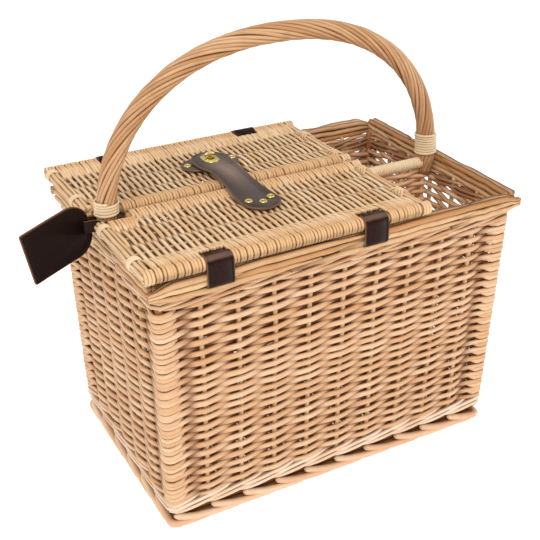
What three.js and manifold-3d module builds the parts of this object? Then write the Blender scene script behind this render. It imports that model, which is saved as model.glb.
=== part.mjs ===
// Willow picnic hamper with two woven lids on leather loops, a roped carrying bow,
// a leather strap with a turn lock, and an open bay split in two at one end.
// Millimetres, +Z up, origin on the ground under the middle of the base, +X along the
// long side towards the open bay, +Y towards the rear lid.

import * as THREE from 'three';
import { mergeVertices } from 'three/addons/utils/BufferGeometryUtils.js';
import Module from 'manifold-3d';

// Clearance between pieces that touch
const GAP = 0.3;

// Body: outer faces of the woven walls at the rim, which lean in towards the foot
const WALL_RIM_LENGTH = 451;
const WALL_RIM_WIDTH = 294;
const WALL_LEAN_ENDS = 6;
const WALL_LEAN_SIDES = 8.5;
const WALL_THICKNESS = 13;
const WALL_HEIGHT = 279;
const LONG_WALL_STAKES = 9;
const SHORT_WALL_STAKES = 5;
const WEAVE_ROWS = 22;
const WEAVE_RELIEF = 4.5;
const WEAVE_SPACE_RELIEF = 3.6;
const WALE_LEVELS = 3;
const WALE_RELIEF = 2.4;
const POST_RADIUS = 10;
const POST_WRAPS = 8;
const POST_WRAP_DEPTH = 1.4;

// Foot border and base
const FOOT_OVERHANG = 0.6;
const FOOT_HEIGHT = 20;
const FOOT_DEPTH = 13.6;
const FOOT_ROUND = 4.2;
const FOOT_SCALLOP = 6;
const BASE_THICKNESS = 14;
const BASE_STICKS = 7;
const BASE_STICK_RELIEF = 2;

// Rim border: a bundle of rods lying along the top of each wall
const RIM_OVERHANG_ENDS = 4.5;
const RIM_OVERHANG_SIDES = 9.5;
const RIM_ROD = 7.4;
const RIM_ROWS = 3;
const RIM_COLUMNS = 2;
const RIM_ROD_PITCH = 7;
const RIM_TIP_LENGTH = 16;
const RIM_TIP_SCALE = 0.6;
const RIM_TIP_OVERRUN = 4;

// Partitions that close off the open bay and split it
const BAY_LENGTH = 113;
const PARTITION_THICKNESS = 12;
const PARTITION_ROLL = 15;
const PARTITION_RIBS = 8;
const PARTITION_RIB_DEPTH = 1.2;
const DIVIDER_DROP = 3;

// Lids
const LID_OVERHANG_END = 5;
const LID_OVERHANG_SIDE = 1.5;
const LID_PARTING = 3;
const LID_ROLL = 17;
const LID_ROLL_RIB = 0.5;
const LID_ROLL_LIFT = 0.4;
const LID_STICKS = 3;
const LID_PANEL_HALF = 5;
const LID_SPAN_HALF = 2.4;
const LID_WEAVE_RELIEF = 1.5;
const LID_WEAVE_STEPS = 20;
const LID_END_ROD = 7;
const LID_END_ROD_PITCH = 5;
const LID_END_RODS = 2;
const LID_END_OVERRUN = 2.8;
const LID_NOTCH_CLEARANCE = 4.7;
const LID_NOTCH_LENGTH = 27;

// Leather hinge loops
const LOOP_LEFT_INSET = 79;
const LOOP_RIGHT_INSET = 72.5;
const LOOP_WIDTH = 30;
const LOOP_LEATHER = 2;
const LOOP_CLEARANCE = 0.4;
const LOOP_SLOT_MARGIN = 0.6;
const LOOP_STICK_RADIUS = 5.4;
const LOOP_STICK_EASE = 0.6;
const LOOP_RIM_ROWS = 2;

// Carrying bow: roped rods on a core that runs down into the end walls
const BOW_LEFT_INSET = 11.2;
const BOW_RIGHT_INSET = 18.8;
const BOW_RISE = 180;
const BOW_SQUARENESS = 2.2;
const BOW_RADIUS = 11;
const BOW_RODS = 9;
const BOW_ROD_RELIEF = 1.5;
const BOW_PITCH = 226;
const BOW_STEPS = 36;
const CORE_RADIUS = 4.5;
const CORE_LEFT_OFFSET = 0.5;
const CORE_RIGHT_OFFSET = 4.5;
const CORE_DEPTH = 70;

// Cane bindings wound round the feet of the bow
const BINDING_CANE = 3.8;
const BINDING_CANE_GAP = 0.46;
const BINDING_EASE = 0.5;
const BINDING_LEFT_TURNS = 3.5;
const BINDING_RIGHT_TURNS = 6;

// Strap, patch and turn lock
const LEATHER = 2.6;
const STRAP_OFFSET = 8.3;
const STRAP_BEND_INSET = 30.5;
const STRAP_WAIST = 28;
const STRAP_HEAD = 42;
const STRAP_FLARE = 30;
const STRAP_BEYOND_LOCK = 19;
const ANCHOR_LENGTH = 39;
const ANCHOR_WIDTH = 44;
const RIVET_HEAD_RADIUS = 4.7;
const RIVET_HEAD_HEIGHT = 1.7;
const RIVET_SHANK_RADIUS = 2;
const ANCHOR_RIVET_SPREAD = 13.5;
const ANCHOR_RIVET_INSET = 16;
const ANCHOR_RIVET_SAG = 8;
const PATCH_LENGTH = 72;
const PATCH_WIDTH = 36;
const PATCH_RIVET_INSET = 7;
const LOCK_Y = 67;
const LOCK_PLATE_LENGTH = 22;
const LOCK_PLATE_WIDTH = 12;
const LOCK_PLATE_THICKNESS = 1;
const EYELET_LENGTH = 16.5;
const EYELET_WIDTH = 7.5;
const EYELET_PLATE = 1.4;
const KNOB_STEM_RADIUS = 2.6;
const KNOB_LENGTH = 13.5;
const KNOB_WIDTH = 5;
const KNOB_HEIGHT = 5;

// Luggage tag on a leather loop round the left foot of the bow
const TAG_LENGTH = 81;
const TAG_WIDTH = 61;
const TAG_LEATHER = 3;
const TAG_CORNER = 24;
const TAG_TILT = 11.3;
const TAG_SWING = 17;
const TAG_RISE = 2;
const TAG_STANDOFF = 11.7;
const TAG_SLOT_WIDTH = 4.2;
const TAG_SLOT_INSET = 7;
const TAG_LOOP_WIDTH = 14;
const TAG_LOOP_LEATHER = 1.6;
const TAG_LOOP_EASE = 0.6;

// Shares of a rivet's head and of the knob, from their full sizes
const RIVET_SHOULDER = { radius: 0.85, height: 0.7 };
const RIVET_CROWN_RADIUS = 0.5;
const RIVET_DIMPLE_HEIGHT = 0.4;
const KNOB_NECK = 0.9;
const KNOB_SECTIONS = [
  { scale: 0.9, height: 0.1 },
  { scale: 1, height: 0.4 },
  { scale: 0.9, height: 0.8 },
  { scale: 0.6, height: 1 },
];

// Arc that a rod shows on each side of its crest in a bundle, and its share of the pitch
const LOBE_WIDEST = Math.PI / 3;
const LOBE_SHARE = 0.94;

// Facets of the round pieces
const POST_SIDES = 8;
const SHAFT_SIDES = 12;
const ROLL_SIDES = 16;
const BINDING_TURN_STEPS = 20;
const BINDING_CANE_SIDES = 6;
const RIVET_SIDES = 8;
const KNOB_SIDES = 12;
const ROLL_ARC_STEPS = 6;
const PARTITION_ARC_STEPS = 8;
const LOOP_ARC_STEPS = 5;
const TAG_LOOP_ARC_STEPS = 10;
const PLATE_ARC_STEPS = 7;
const BOW_LENGTH_SAMPLES = 800;
const MERGE_TOLERANCE = 1e-4;

// Colours of the finishes
const WILLOW = { color: 0xd9b27f, roughness: 0.6, metalness: 0 };
const BORDER_WILLOW = { color: 0xcf9f6c, roughness: 0.55, metalness: 0 };
const BOW_WILLOW = { color: 0xc4966a, roughness: 0.5, metalness: 0 };
const CANE = { color: 0xe0c592, roughness: 0.5, metalness: 0 };
const DARK_LEATHER = { color: 0x3a2a26, roughness: 0.55, metalness: 0 };
const BRASS = { color: 0xd8bd74, roughness: 0.25, metalness: 1 };

// Levels and places that follow from the sizes above
const WALL_BOTTOM = FOOT_HEIGHT + GAP;
const WALL_TOP = WALL_BOTTOM + WALL_HEIGHT;
const FOOT_LENGTH = WALL_RIM_LENGTH - 2 * WALL_LEAN_ENDS + 2 * FOOT_OVERHANG;
const FOOT_WIDTH = WALL_RIM_WIDTH - 2 * WALL_LEAN_SIDES + 2 * FOOT_OVERHANG;
const RIM_LENGTH = WALL_RIM_LENGTH + 2 * RIM_OVERHANG_ENDS;
const RIM_WIDTH = WALL_RIM_WIDTH + 2 * RIM_OVERHANG_SIDES;
const RIM_BOTTOM = WALL_TOP + GAP;
const RIM_DEPTH = RIM_ROD + (RIM_COLUMNS - 1) * RIM_ROD_PITCH;
const RIM_HEIGHT = RIM_ROD + (RIM_ROWS - 1) * RIM_ROD_PITCH;
const RIM_TOP = RIM_BOTTOM + RIM_HEIGHT;
const PARTITION_X = WALL_RIM_LENGTH / 2 - WALL_THICKNESS - BAY_LENGTH - PARTITION_THICKNESS / 2;
const LID_END_WIDTH = LID_END_ROD + (LID_END_RODS - 1) * LID_END_ROD_PITCH;
const LID_LEFT = -RIM_LENGTH / 2 - LID_OVERHANG_END;
const LID_RIGHT = PARTITION_X + LID_END_WIDTH / 2;
const LID_ROLL_RADIUS = LID_ROLL / 2;
const LID_Z = RIM_TOP + LID_ROLL_LIFT + LID_ROLL_RADIUS;
const LID_HINGE_Y = RIM_WIDTH / 2 + LID_OVERHANG_SIDE - LID_ROLL_RADIUS;
const LID_INNER_Y = LID_PARTING + LID_ROLL_RADIUS;
const PANEL_TOP = LID_Z + LID_PANEL_HALF + LID_WEAVE_RELIEF;
const LOOP_CENTRES = [LID_LEFT + LOOP_LEFT_INSET, LID_RIGHT - LOOP_RIGHT_INSET];
const LOOP_ROLL_RADIUS = LOOP_STICK_RADIUS + LOOP_STICK_EASE;
const LOOP_RIM_BOTTOM = RIM_TOP - RIM_ROD - (LOOP_RIM_ROWS - 1) * RIM_ROD_PITCH;
const BOW_LEFT_X = -WALL_RIM_LENGTH / 2 + BOW_LEFT_INSET;
const BOW_RIGHT_X = WALL_RIM_LENGTH / 2 - BOW_RIGHT_INSET;
const BOW_CENTRE_X = (BOW_LEFT_X + BOW_RIGHT_X) / 2;
const BOW_HALF_SPAN = (BOW_RIGHT_X - BOW_LEFT_X) / 2;
const BOW_FOOT_Z = RIM_TOP + GAP;
const CORE_LEFT_X = BOW_LEFT_X - CORE_LEFT_OFFSET;
const CORE_RIGHT_X = BOW_RIGHT_X + CORE_RIGHT_OFFSET;
const BINDING_RADIUS = BOW_RADIUS + BINDING_EASE + BINDING_CANE / 2;
const BINDING_PITCH = BINDING_CANE + BINDING_CANE_GAP;
const LID_NOTCH_X = BOW_LEFT_X + LID_NOTCH_LENGTH;
const LID_NOTCH_Y = BINDING_RADIUS + BINDING_CANE / 2 + LID_NOTCH_CLEARANCE;
const STRAP_X = (LID_LEFT + LID_RIGHT) / 2 + STRAP_OFFSET;
const STRAP_BEND_Y = -LID_INNER_Y - STRAP_BEND_INSET;
const STRAP_END_Y = LOCK_Y + STRAP_BEYOND_LOCK;
const ANCHOR_END_Y = STRAP_BEND_Y - ANCHOR_LENGTH;
const ANCHOR_RIVET_Y = STRAP_BEND_Y - ANCHOR_RIVET_INSET;
const TAG_INNER_X = BOW_LEFT_X - BOW_RADIUS - TAG_STANDOFF;

const hamper = new THREE.Group();
const wasm = await Module();
wasm.setup();

/** Outer half length of the walls at height z. */
function halfLength(z) {
  return WALL_RIM_LENGTH / 2 - (WALL_LEAN_ENDS * (WALL_TOP - z)) / WALL_HEIGHT;
}

/** Outer half width of the walls at height z. */
function halfWidth(z) {
  return WALL_RIM_WIDTH / 2 - (WALL_LEAN_SIDES * (WALL_TOP - z)) / WALL_HEIGHT;
}

/** Adds a named mesh with its own material. */
function add(name, geometry, finish) {
  const mesh = new THREE.Mesh(geometry, new THREE.MeshStandardMaterial(finish));
  mesh.name = name;
  hamper.add(mesh);
  return mesh;
}

/** Closed solid from points and triangles, turned so that its faces point out. */
function solidFrom(points, faces) {
  let volume = 0;
  for (const [a, b, c] of faces) {
    volume += points[a].dot(new THREE.Vector3().crossVectors(points[b], points[c]));
  }
  const ordered = volume < 0 ? faces.map(([a, b, c]) => [a, c, b]) : faces;
  const geometry = new THREE.BufferGeometry().setFromPoints(points);
  geometry.setIndex(ordered.flat());
  geometry.computeVertexNormals();
  return geometry;
}

/** Triangles over a flat ring of points, in the ring's own direction. */
function capTriangles(ring) {
  const normal = new THREE.Vector3();
  ring.forEach((point, i) => {
    const next = ring[(i + 1) % ring.length];
    normal.add(new THREE.Vector3().crossVectors(point, next));
  });
  normal.normalize();
  const upright = Math.abs(normal.z) > Math.abs(normal.x);
  const helper = upright ? new THREE.Vector3(1, 0, 0) : new THREE.Vector3(0, 0, 1);
  const across = new THREE.Vector3().crossVectors(helper, normal).normalize();
  const up = new THREE.Vector3().crossVectors(normal, across);
  const flat = ring.map((point) => new THREE.Vector2(point.dot(across), point.dot(up)));
  return THREE.ShapeUtils.triangulateShape(flat, []).map(([a, b, c]) => {
    const area = THREE.ShapeUtils.area([flat[a], flat[b], flat[c]]);
    return area > 0 ? [a, b, c] : [a, c, b];
  });
}

/** Skin over a row of rings with equal counts, closed by flat caps at both ends. */
function loft(rings) {
  const count = rings[0].length;
  const faces = [];
  for (let r = 0; r + 1 < rings.length; r += 1) {
    for (let i = 0; i < count; i += 1) {
      const j = (i + 1) % count;
      const low = r * count;
      const high = low + count;
      faces.push([low + i, low + j, high + j], [low + i, high + j, high + i]);
    }
  }
  const last = (rings.length - 1) * count;
  for (const [a, b, c] of capTriangles(rings[0])) {
    faces.push([a, c, b]);
  }
  for (const [a, b, c] of capTriangles(rings.at(-1))) {
    faces.push([last + a, last + b, last + c]);
  }
  return solidFrom(rings.flat(), faces);
}

/** Evenly spaced values from start to end, both included. */
function spread(start, end, steps) {
  return Array.from({ length: steps + 1 }, (_, i) => start + ((end - start) * i) / steps);
}

/** Manifold solid of a closed geometry. */
function toManifold(geometry) {
  const plain = geometry.clone();
  plain.deleteAttribute('normal');
  plain.deleteAttribute('uv');
  const merged = mergeVertices(plain, MERGE_TOLERANCE);
  return new wasm.Manifold(new wasm.Mesh({
    numProp: 3,
    vertProperties: Float32Array.from(merged.attributes.position.array),
    triVerts: Uint32Array.from(merged.index.array),
  }));
}

/** Geometry with each cutter taken out of it. */
function cut(geometry, ...cutters) {
  let solid = toManifold(geometry);
  for (const cutter of cutters) {
    solid = solid.subtract(toManifold(cutter));
  }
  const mesh = solid.getMesh();
  const result = new THREE.BufferGeometry();
  result.setAttribute('position', new THREE.BufferAttribute(Float32Array.from(mesh.vertProperties), 3));
  result.setIndex(Array.from(mesh.triVerts));
  result.computeVertexNormals();
  return result;
}

/** Box between two corners. */
function boxBetween(low, high) {
  const size = low.map((value, i) => high[i] - value);
  const centre = low.map((value, i) => (value + high[i]) / 2);
  return new THREE.BoxGeometry(...size).translate(...centre);
}

/** Upright cylinder from one height to another. */
function uprightCylinder(x, y, bottom, top, radius, sides) {
  const geometry = new THREE.CylinderGeometry(radius, radius, top - bottom, sides);
  return geometry.rotateX(Math.PI / 2).translate(x, y, (bottom + top) / 2);
}

/** Flat outline in X and Y extruded upwards from a height. */
function plateFrom(shape, bottom, thickness) {
  const settings = { depth: thickness, bevelEnabled: false, curveSegments: PLATE_ARC_STEPS };
  return new THREE.ExtrudeGeometry(shape, settings).translate(0, 0, bottom);
}

/** Rounded slot outline, long along Y, centred on a point. */
function slotShape(x, y, length, width) {
  const radius = width / 2;
  const straight = length / 2 - radius;
  const shape = new THREE.Shape();
  shape.absarc(x, y + straight, radius, 0, Math.PI, false);
  shape.absarc(x, y - straight, radius, Math.PI, 2 * Math.PI, false);
  shape.closePath();
  return shape;
}

/**
 * Points of a belt pulled round circles that are listed anticlockwise, each circle grown by
 * an offset. Every circle gives an arc between the two straight runs that touch it.
 */
function beltPoints(circles, offset, arcSteps) {
  const turns = circles.map((circle, i) => {
    const next = circles[(i + 1) % circles.length];
    const dx = next.x - circle.x;
    const dy = next.y - circle.y;
    const lean = Math.asin((next.radius - circle.radius) / Math.hypot(dx, dy));
    return Math.atan2(dy, dx) - Math.PI / 2 - lean;
  });
  return circles.flatMap((circle, i) => {
    const start = turns[(i + circles.length - 1) % circles.length];
    let end = turns[i];
    while (end < start) {
      end += 2 * Math.PI;
    }
    const radius = circle.radius + offset;
    return spread(start, end, arcSteps).map(
      (angle) => new THREE.Vector2(circle.x + radius * Math.cos(angle), circle.y + radius * Math.sin(angle)),
    );
  });
}

/** Leather band of even thickness pulled round circles, as an extrusion along local Z. */
function beltBand(circles, clearance, leather, width, arcSteps) {
  const band = new THREE.Shape(beltPoints(circles, clearance + leather, arcSteps));
  band.holes.push(new THREE.Path(beltPoints(circles, clearance, arcSteps).reverse()));
  return new THREE.ExtrudeGeometry(band, { depth: width, bevelEnabled: false });
}

/** Outline of a bundle of rods in rows and columns, centred, as points in a plane. */
function bundleOutline(columns, rows, rod, pitch) {
  const radius = rod / 2;
  const acrossEnd = ((columns - 1) * pitch) / 2;
  const upEnd = ((rows - 1) * pitch) / 2;
  const outline = [];
  const sides = [
    { normal: 0, count: rows, at: (k) => [acrossEnd, -upEnd + k * pitch] },
    { normal: Math.PI / 2, count: columns, at: (k) => [acrossEnd - k * pitch, upEnd] },
    { normal: Math.PI, count: rows, at: (k) => [-acrossEnd, upEnd - k * pitch] },
    { normal: 1.5 * Math.PI, count: columns, at: (k) => [-acrossEnd + k * pitch, -upEnd] },
  ];
  const lobe = Math.min(LOBE_WIDEST, Math.asin((LOBE_SHARE * pitch) / rod));
  const cornerStart = Math.PI / 4;
  const cornerEnd = Math.PI / 8;
  for (const { normal, count, at } of sides) {
    for (let k = 0; k < count; k += 1) {
      const [across, up] = at(k);
      const from = k === 0 ? normal - cornerStart : normal - lobe;
      const to = k === count - 1 ? normal + cornerEnd : normal + lobe;
      for (const angle of spread(from, to, 2)) {
        outline.push([across + radius * Math.cos(angle), up + radius * Math.sin(angle)]);
      }
    }
  }
  return outline;
}

/** Columns of a wall's weave: the panel's ends, each stake and the middle of each space. */
function weaveColumns(stakes) {
  const columns = [{ share: -1, bulge: 0 }];
  for (let i = 1; i < 2 * stakes; i += 1) {
    const share = (2 * (i + 1)) / (2 * (stakes + 1)) - 1;
    columns.push({ share, bulge: i % 2 });
  }
  columns.push({ share: 1, bulge: 0 });
  return columns;
}

/**
 * How deep the weave lies behind its wall's face at one level: weavers pass in front of each
 * stake on every second level and cross between the stakes; the waled rows run unbroken.
 */
function weaveDepth(bulge, level, first) {
  const levels = 2 * WEAVE_ROWS;
  const crest = (level + first) % 2 === 0;
  if (level < WALE_LEVELS || level > levels - WALE_LEVELS) {
    return crest ? 0 : WALE_RELIEF;
  }
  if (!bulge) {
    return WEAVE_SPACE_RELIEF;
  }
  return crest ? 0 : WEAVE_RELIEF;
}

/**
 * Woven wall between two corner posts, with its first crest at a level; place turns a run,
 * a reach and a height into a point.
 */
function wovenWall(stakes, first, halfRun, halfReach, place) {
  const columns = weaveColumns(stakes);
  const rings = spread(WALL_BOTTOM, WALL_TOP, 2 * WEAVE_ROWS).map((z, level) => {
    const end = halfRun(z) - 2 * POST_RADIUS - GAP;
    const outer = columns.map(({ share, bulge }) => {
      const run = THREE.MathUtils.clamp(share * (halfRun(z) - POST_RADIUS), -end, end);
      return place(run, halfReach(z) - weaveDepth(bulge, level, first), z);
    });
    const inner = halfReach(z) - WALL_THICKNESS;
    return [...outer, place(end, inner, z), place(-end, inner, z)];
  });
  return loft(rings);
}

/** Shaft of the bow's core, with clearance, to cut its channel. */
function coreShaft(x) {
  const bottom = BOW_FOOT_Z - CORE_DEPTH - GAP;
  return uprightCylinder(x, 0, bottom, BOW_FOOT_Z + GAP, CORE_RADIUS + GAP, SHAFT_SIDES);
}

function buildWalls() {
  for (const [name, side] of [['front', -1], ['rear', 1]]) {
    const panel = wovenWall(LONG_WALL_STAKES, 1, halfLength, halfWidth,
      (run, reach, z) => new THREE.Vector3(run, side * reach, z));
    add(`${name}_wall`, panel, WILLOW);
  }
  for (const [name, side, core] of [['left', -1, CORE_LEFT_X], ['right', 1, CORE_RIGHT_X]]) {
    const panel = wovenWall(SHORT_WALL_STAKES, 0, halfWidth, halfLength,
      (run, reach, z) => new THREE.Vector3(side * reach, run, z));
    add(`${name}_wall`, cut(panel, coreShaft(core)), WILLOW);
  }
}

/** Corner post with its wraps, leaning out with the walls. */
function buildCornerPosts() {
  for (const [end, across] of [['front', -1], ['rear', 1]]) {
    for (const [hand, along] of [['left', -1], ['right', 1]]) {
      const rings = spread(WALL_BOTTOM, WALL_TOP, 2 * POST_WRAPS).map((z, level) => {
        const radius = level % 2 ? POST_RADIUS : POST_RADIUS - POST_WRAP_DEPTH;
        const x = along * (halfLength(z) - POST_RADIUS);
        const y = across * (halfWidth(z) - POST_RADIUS);
        return spread(0, 2 * Math.PI, POST_SIDES).slice(0, -1).map((angle) => (
          new THREE.Vector3(x + radius * Math.cos(angle), y + radius * Math.sin(angle), z)
        ));
      });
      add(`corner_post_${end}_${hand}`, loft(rings), WILLOW);
    }
  }
}

/** Foot rail whose rods rise to the wall at each stake and dip between them. */
function footRail(halfRun, outer, stakes, place) {
  const inner = outer - FOOT_DEPTH;
  const spaces = 2 * (stakes + 1);
  const rings = spread(-halfRun, halfRun, spaces).map((run, i) => {
    const dip = i % 2 ? FOOT_SCALLOP : 0;
    return [
      place(run, inner, 0),
      place(run, outer - FOOT_ROUND, 0),
      place(run, outer, FOOT_ROUND),
      place(run, outer, FOOT_HEIGHT / 2 - dip / 2),
      place(run, outer - FOOT_ROUND, FOOT_HEIGHT - dip),
      place(run, inner, FOOT_HEIGHT),
    ];
  });
  return loft(rings);
}

function buildFoot() {
  const sideRun = FOOT_WIDTH / 2 - FOOT_DEPTH - GAP;
  for (const [name, side] of [['front', -1], ['rear', 1]]) {
    const rail = footRail(FOOT_LENGTH / 2, FOOT_WIDTH / 2, LONG_WALL_STAKES,
      (run, reach, z) => new THREE.Vector3(run, side * reach, z));
    add(`foot_border_${name}`, rail, BORDER_WILLOW);
  }
  for (const [name, side] of [['left', -1], ['right', 1]]) {
    const rail = footRail(sideRun, FOOT_LENGTH / 2, SHORT_WALL_STAKES,
      (run, reach, z) => new THREE.Vector3(side * reach, run, z));
    add(`foot_border_${name}`, rail, BORDER_WILLOW);
  }
}

/** Base panel: flat underneath, ribbed on top over its sticks. */
function buildBase() {
  const halfRun = FOOT_LENGTH / 2 - FOOT_DEPTH - GAP;
  const half = FOOT_WIDTH / 2 - FOOT_DEPTH - GAP;
  const top = spread(half, -half, 2 * BASE_STICKS).map((y, i) => (
    [y, i % 2 ? BASE_THICKNESS : BASE_THICKNESS - BASE_STICK_RELIEF]
  ));
  const section = [[-half, 0], [half, 0], ...top];
  const rings = [-halfRun, halfRun].map((x) => section.map(([y, z]) => new THREE.Vector3(x, y, z)));
  add('base_panel', loft(rings), WILLOW);
}

/** Rim rail: a bundle of rods that narrows to its tips. */
function rimRail(halfRun, outer, tips, place) {
  const outline = bundleOutline(RIM_COLUMNS, RIM_ROWS, RIM_ROD, RIM_ROD_PITCH);
  const middle = outer - RIM_DEPTH / 2;
  const level = RIM_BOTTOM + RIM_HEIGHT / 2;
  const tipStart = RIM_TIP_LENGTH - halfRun;
  const stations = tips
    ? [[-halfRun, RIM_TIP_SCALE], [tipStart, 1], [-tipStart, 1], [halfRun, RIM_TIP_SCALE]]
    : [[-halfRun, 1], [halfRun, 1]];
  const rings = stations.map(([run, scale]) => outline.map(([across, up]) => (
    place(run, middle + scale * across, level + scale * up)
  )));
  return loft(rings);
}

/** Slots between a long rim's rods, through which the hinge loops pass. */
function rimLoopSlots(side) {
  const half = LOOP_WIDTH / 2 + LOOP_SLOT_MARGIN;
  const top = LOOP_RIM_BOTTOM + LOOP_SLOT_MARGIN;
  const bottom = LOOP_RIM_BOTTOM - LOOP_CLEARANCE - LOOP_LEATHER - LOOP_SLOT_MARGIN;
  const y = side * (RIM_WIDTH / 2 - RIM_DEPTH / 2);
  return LOOP_CENTRES.map((x) => (
    boxBetween([x - half, y - RIM_DEPTH, bottom], [x + half, y + RIM_DEPTH, top])
  ));
}

function buildRim() {
  const longRun = RIM_LENGTH / 2 + RIM_TIP_OVERRUN;
  const sideRun = RIM_WIDTH / 2 - RIM_DEPTH - GAP;
  for (const [name, side] of [['front', -1], ['rear', 1]]) {
    const rail = rimRail(longRun, RIM_WIDTH / 2, true,
      (run, reach, z) => new THREE.Vector3(run, side * reach, z));
    add(`rim_border_${name}`, cut(rail, ...rimLoopSlots(side)), BORDER_WILLOW);
  }
  for (const [name, side, core] of [['left', -1, CORE_LEFT_X], ['right', 1, CORE_RIGHT_X]]) {
    const rail = rimRail(sideRun, RIM_LENGTH / 2, false,
      (run, reach, z) => new THREE.Vector3(side * reach, run, z));
    add(`rim_border_${name}`, cut(rail, coreShaft(core)), BORDER_WILLOW);
  }
}

/** Section of a woven partition: a thin panel that swells into a roll along its top edge. */
function partitionSection(top, swell) {
  const radius = PARTITION_ROLL / 2 + swell;
  const half = PARTITION_THICKNESS / 2 + swell;
  const centre = top - PARTITION_ROLL / 2;
  const start = -Math.acos(half / radius);
  const roll = spread(start, Math.PI - start, PARTITION_ARC_STEPS).map((angle) => (
    [radius * Math.cos(angle), centre + radius * Math.sin(angle)]
  ));
  return [[-half, BASE_THICKNESS + GAP], [half, BASE_THICKNESS + GAP], ...roll];
}

/** Reach of a partition between two walls at a height, clear of the foot border below them. */
function insideReach(wallHalf, footHalf, z) {
  const wall = wallHalf(Math.min(z, WALL_TOP)) - WALL_THICKNESS;
  return (z < FOOT_HEIGHT ? Math.min(wall, footHalf - FOOT_DEPTH) : wall) - GAP;
}

function buildPartitions() {
  const ribs = spread(-1, 1, 2 * PARTITION_RIBS);
  const crossRings = ribs.map((share, i) => (
    partitionSection(RIM_TOP - PARTITION_RIB_DEPTH, (i % 2) * PARTITION_RIB_DEPTH - PARTITION_RIB_DEPTH)
      .map(([across, z]) => (
        new THREE.Vector3(PARTITION_X + across, share * insideReach(halfWidth, FOOT_WIDTH / 2, z), z)
      ))
  ));
  add('cross_partition', loft(crossRings), WILLOW);
  const start = PARTITION_X + PARTITION_ROLL / 2 + GAP;
  const dividerRings = spread(0, 1, PARTITION_RIBS).map((share, i) => (
    partitionSection(RIM_TOP - DIVIDER_DROP, (i % 2) * PARTITION_RIB_DEPTH - PARTITION_RIB_DEPTH)
      .map(([across, z]) => {
        const end = insideReach(halfLength, FOOT_LENGTH / 2, z);
        return new THREE.Vector3(THREE.MathUtils.lerp(start, end, share), across, z);
      })
  ));
  add('bay_divider', cut(loft(dividerRings), coreShaft(CORE_RIGHT_X)), CANE);
}

/** One section of a lid's weave, thick over its sticks and thin between them, with two rolled edges. */
function lidSection(step) {
  const roll = LID_ROLL_RADIUS - (step % 2) * LID_ROLL_RIB;
  const mouth = Math.asin((LID_PANEL_HALF + LID_WEAVE_RELIEF) / LID_ROLL_RADIUS);
  const hinge = spread(mouth, 2 * Math.PI - mouth, ROLL_ARC_STEPS).map((angle) => (
    [-LID_HINGE_Y + roll * Math.cos(angle), LID_Z + roll * Math.sin(angle)]
  ));
  const inner = spread(mouth - Math.PI, Math.PI - mouth, ROLL_ARC_STEPS).map((angle) => (
    [-LID_INNER_Y + roll * Math.cos(angle), LID_Z + roll * Math.sin(angle)]
  ));
  const weave = spread(-LID_HINGE_Y, -LID_INNER_Y, 2 * (LID_STICKS + 1)).slice(1, -1).map((y, i) => {
    const onStick = i % 2 === 1;
    const side = ((i - 1) / 2 + step) % 2 ? 1 : -1;
    return {
      y,
      half: onStick ? LID_PANEL_HALF : LID_SPAN_HALF,
      lift: onStick ? side * LID_WEAVE_RELIEF : 0,
    };
  });
  const under = weave.map(({ y, half, lift }) => [y, LID_Z - half + lift]);
  const over = weave.map(({ y, half, lift }) => [y, LID_Z + half + lift]).reverse();
  return [...hinge, ...under, ...inner, ...over];
}

/** Openings beside a lid's hinge roll, through which the leather loops pass. */
function lidLoopSlots(side) {
  const half = LOOP_WIDTH / 2 + LOOP_SLOT_MARGIN;
  const rimOut = RIM_WIDTH / 2 - LID_HINGE_Y;
  const inside = Math.max(LOOP_ROLL_RADIUS, rimOut, RIM_DEPTH - rimOut);
  const reach = inside + LOOP_CLEARANCE + LOOP_LEATHER + LOOP_SLOT_MARGIN;
  return LOOP_CENTRES.map((x) => {
    const slot = boxBetween(
      [x - half, side * LID_HINGE_Y - reach, LID_Z - LID_ROLL],
      [x + half, side * LID_HINGE_Y + reach, LID_Z + LID_ROLL],
    );
    const radius = LOOP_STICK_RADIUS;
    const stick = new THREE.CylinderGeometry(radius, radius, 2 * LOOP_WIDTH, ROLL_SIDES);
    stick.rotateZ(Math.PI / 2).translate(x, side * LID_HINGE_Y, LID_Z);
    return cut(slot, stick);
  });
}

/** Room at a lid's inner left corner for the foot of the bow. */
function lidNotch(side) {
  const low = side < 0 ? -LID_NOTCH_Y : -LID_ROLL;
  const high = side < 0 ? LID_ROLL : LID_NOTCH_Y;
  return boxBetween([LID_LEFT - LID_END_WIDTH, low, LID_Z - LID_ROLL], [LID_NOTCH_X, high, LID_Z + LID_ROLL]);
}

/** Bundle of rods across one end of a lid, with its ends kept inside the hinge roll's sweep. */
function lidEndRail(side, low, parting) {
  const outline = bundleOutline(LID_END_RODS, LID_END_RODS, LID_END_ROD, LID_END_ROD_PITCH);
  const middle = low + LID_END_WIDTH / 2;
  const stations = [-LID_HINGE_Y - LID_END_OVERRUN, -parting];
  const rings = stations.map((y) => outline.map(([across, up]) => (
    new THREE.Vector3(middle + across, -side * y, LID_Z + up)
  )));
  return loft(rings);
}

function buildLids() {
  for (const [name, side] of [['front', -1], ['rear', 1]]) {
    const left = LID_LEFT + LID_END_WIDTH + GAP;
    const right = LID_RIGHT - LID_END_WIDTH - GAP;
    const rings = spread(left, right, LID_WEAVE_STEPS).map((x, step) => (
      lidSection(step).map(([y, z]) => new THREE.Vector3(x, -side * y, z))
    ));
    const panel = cut(loft(rings), lidNotch(side), ...lidLoopSlots(side));
    add(`${name}_lid_panel`, panel, WILLOW);
    add(`${name}_lid_left_end`, lidEndRail(side, LID_LEFT, LID_NOTCH_Y), WILLOW);
    add(`${name}_lid_right_end`, lidEndRail(side, LID_RIGHT - LID_END_WIDTH, LID_PARTING), WILLOW);
  }
}

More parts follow.
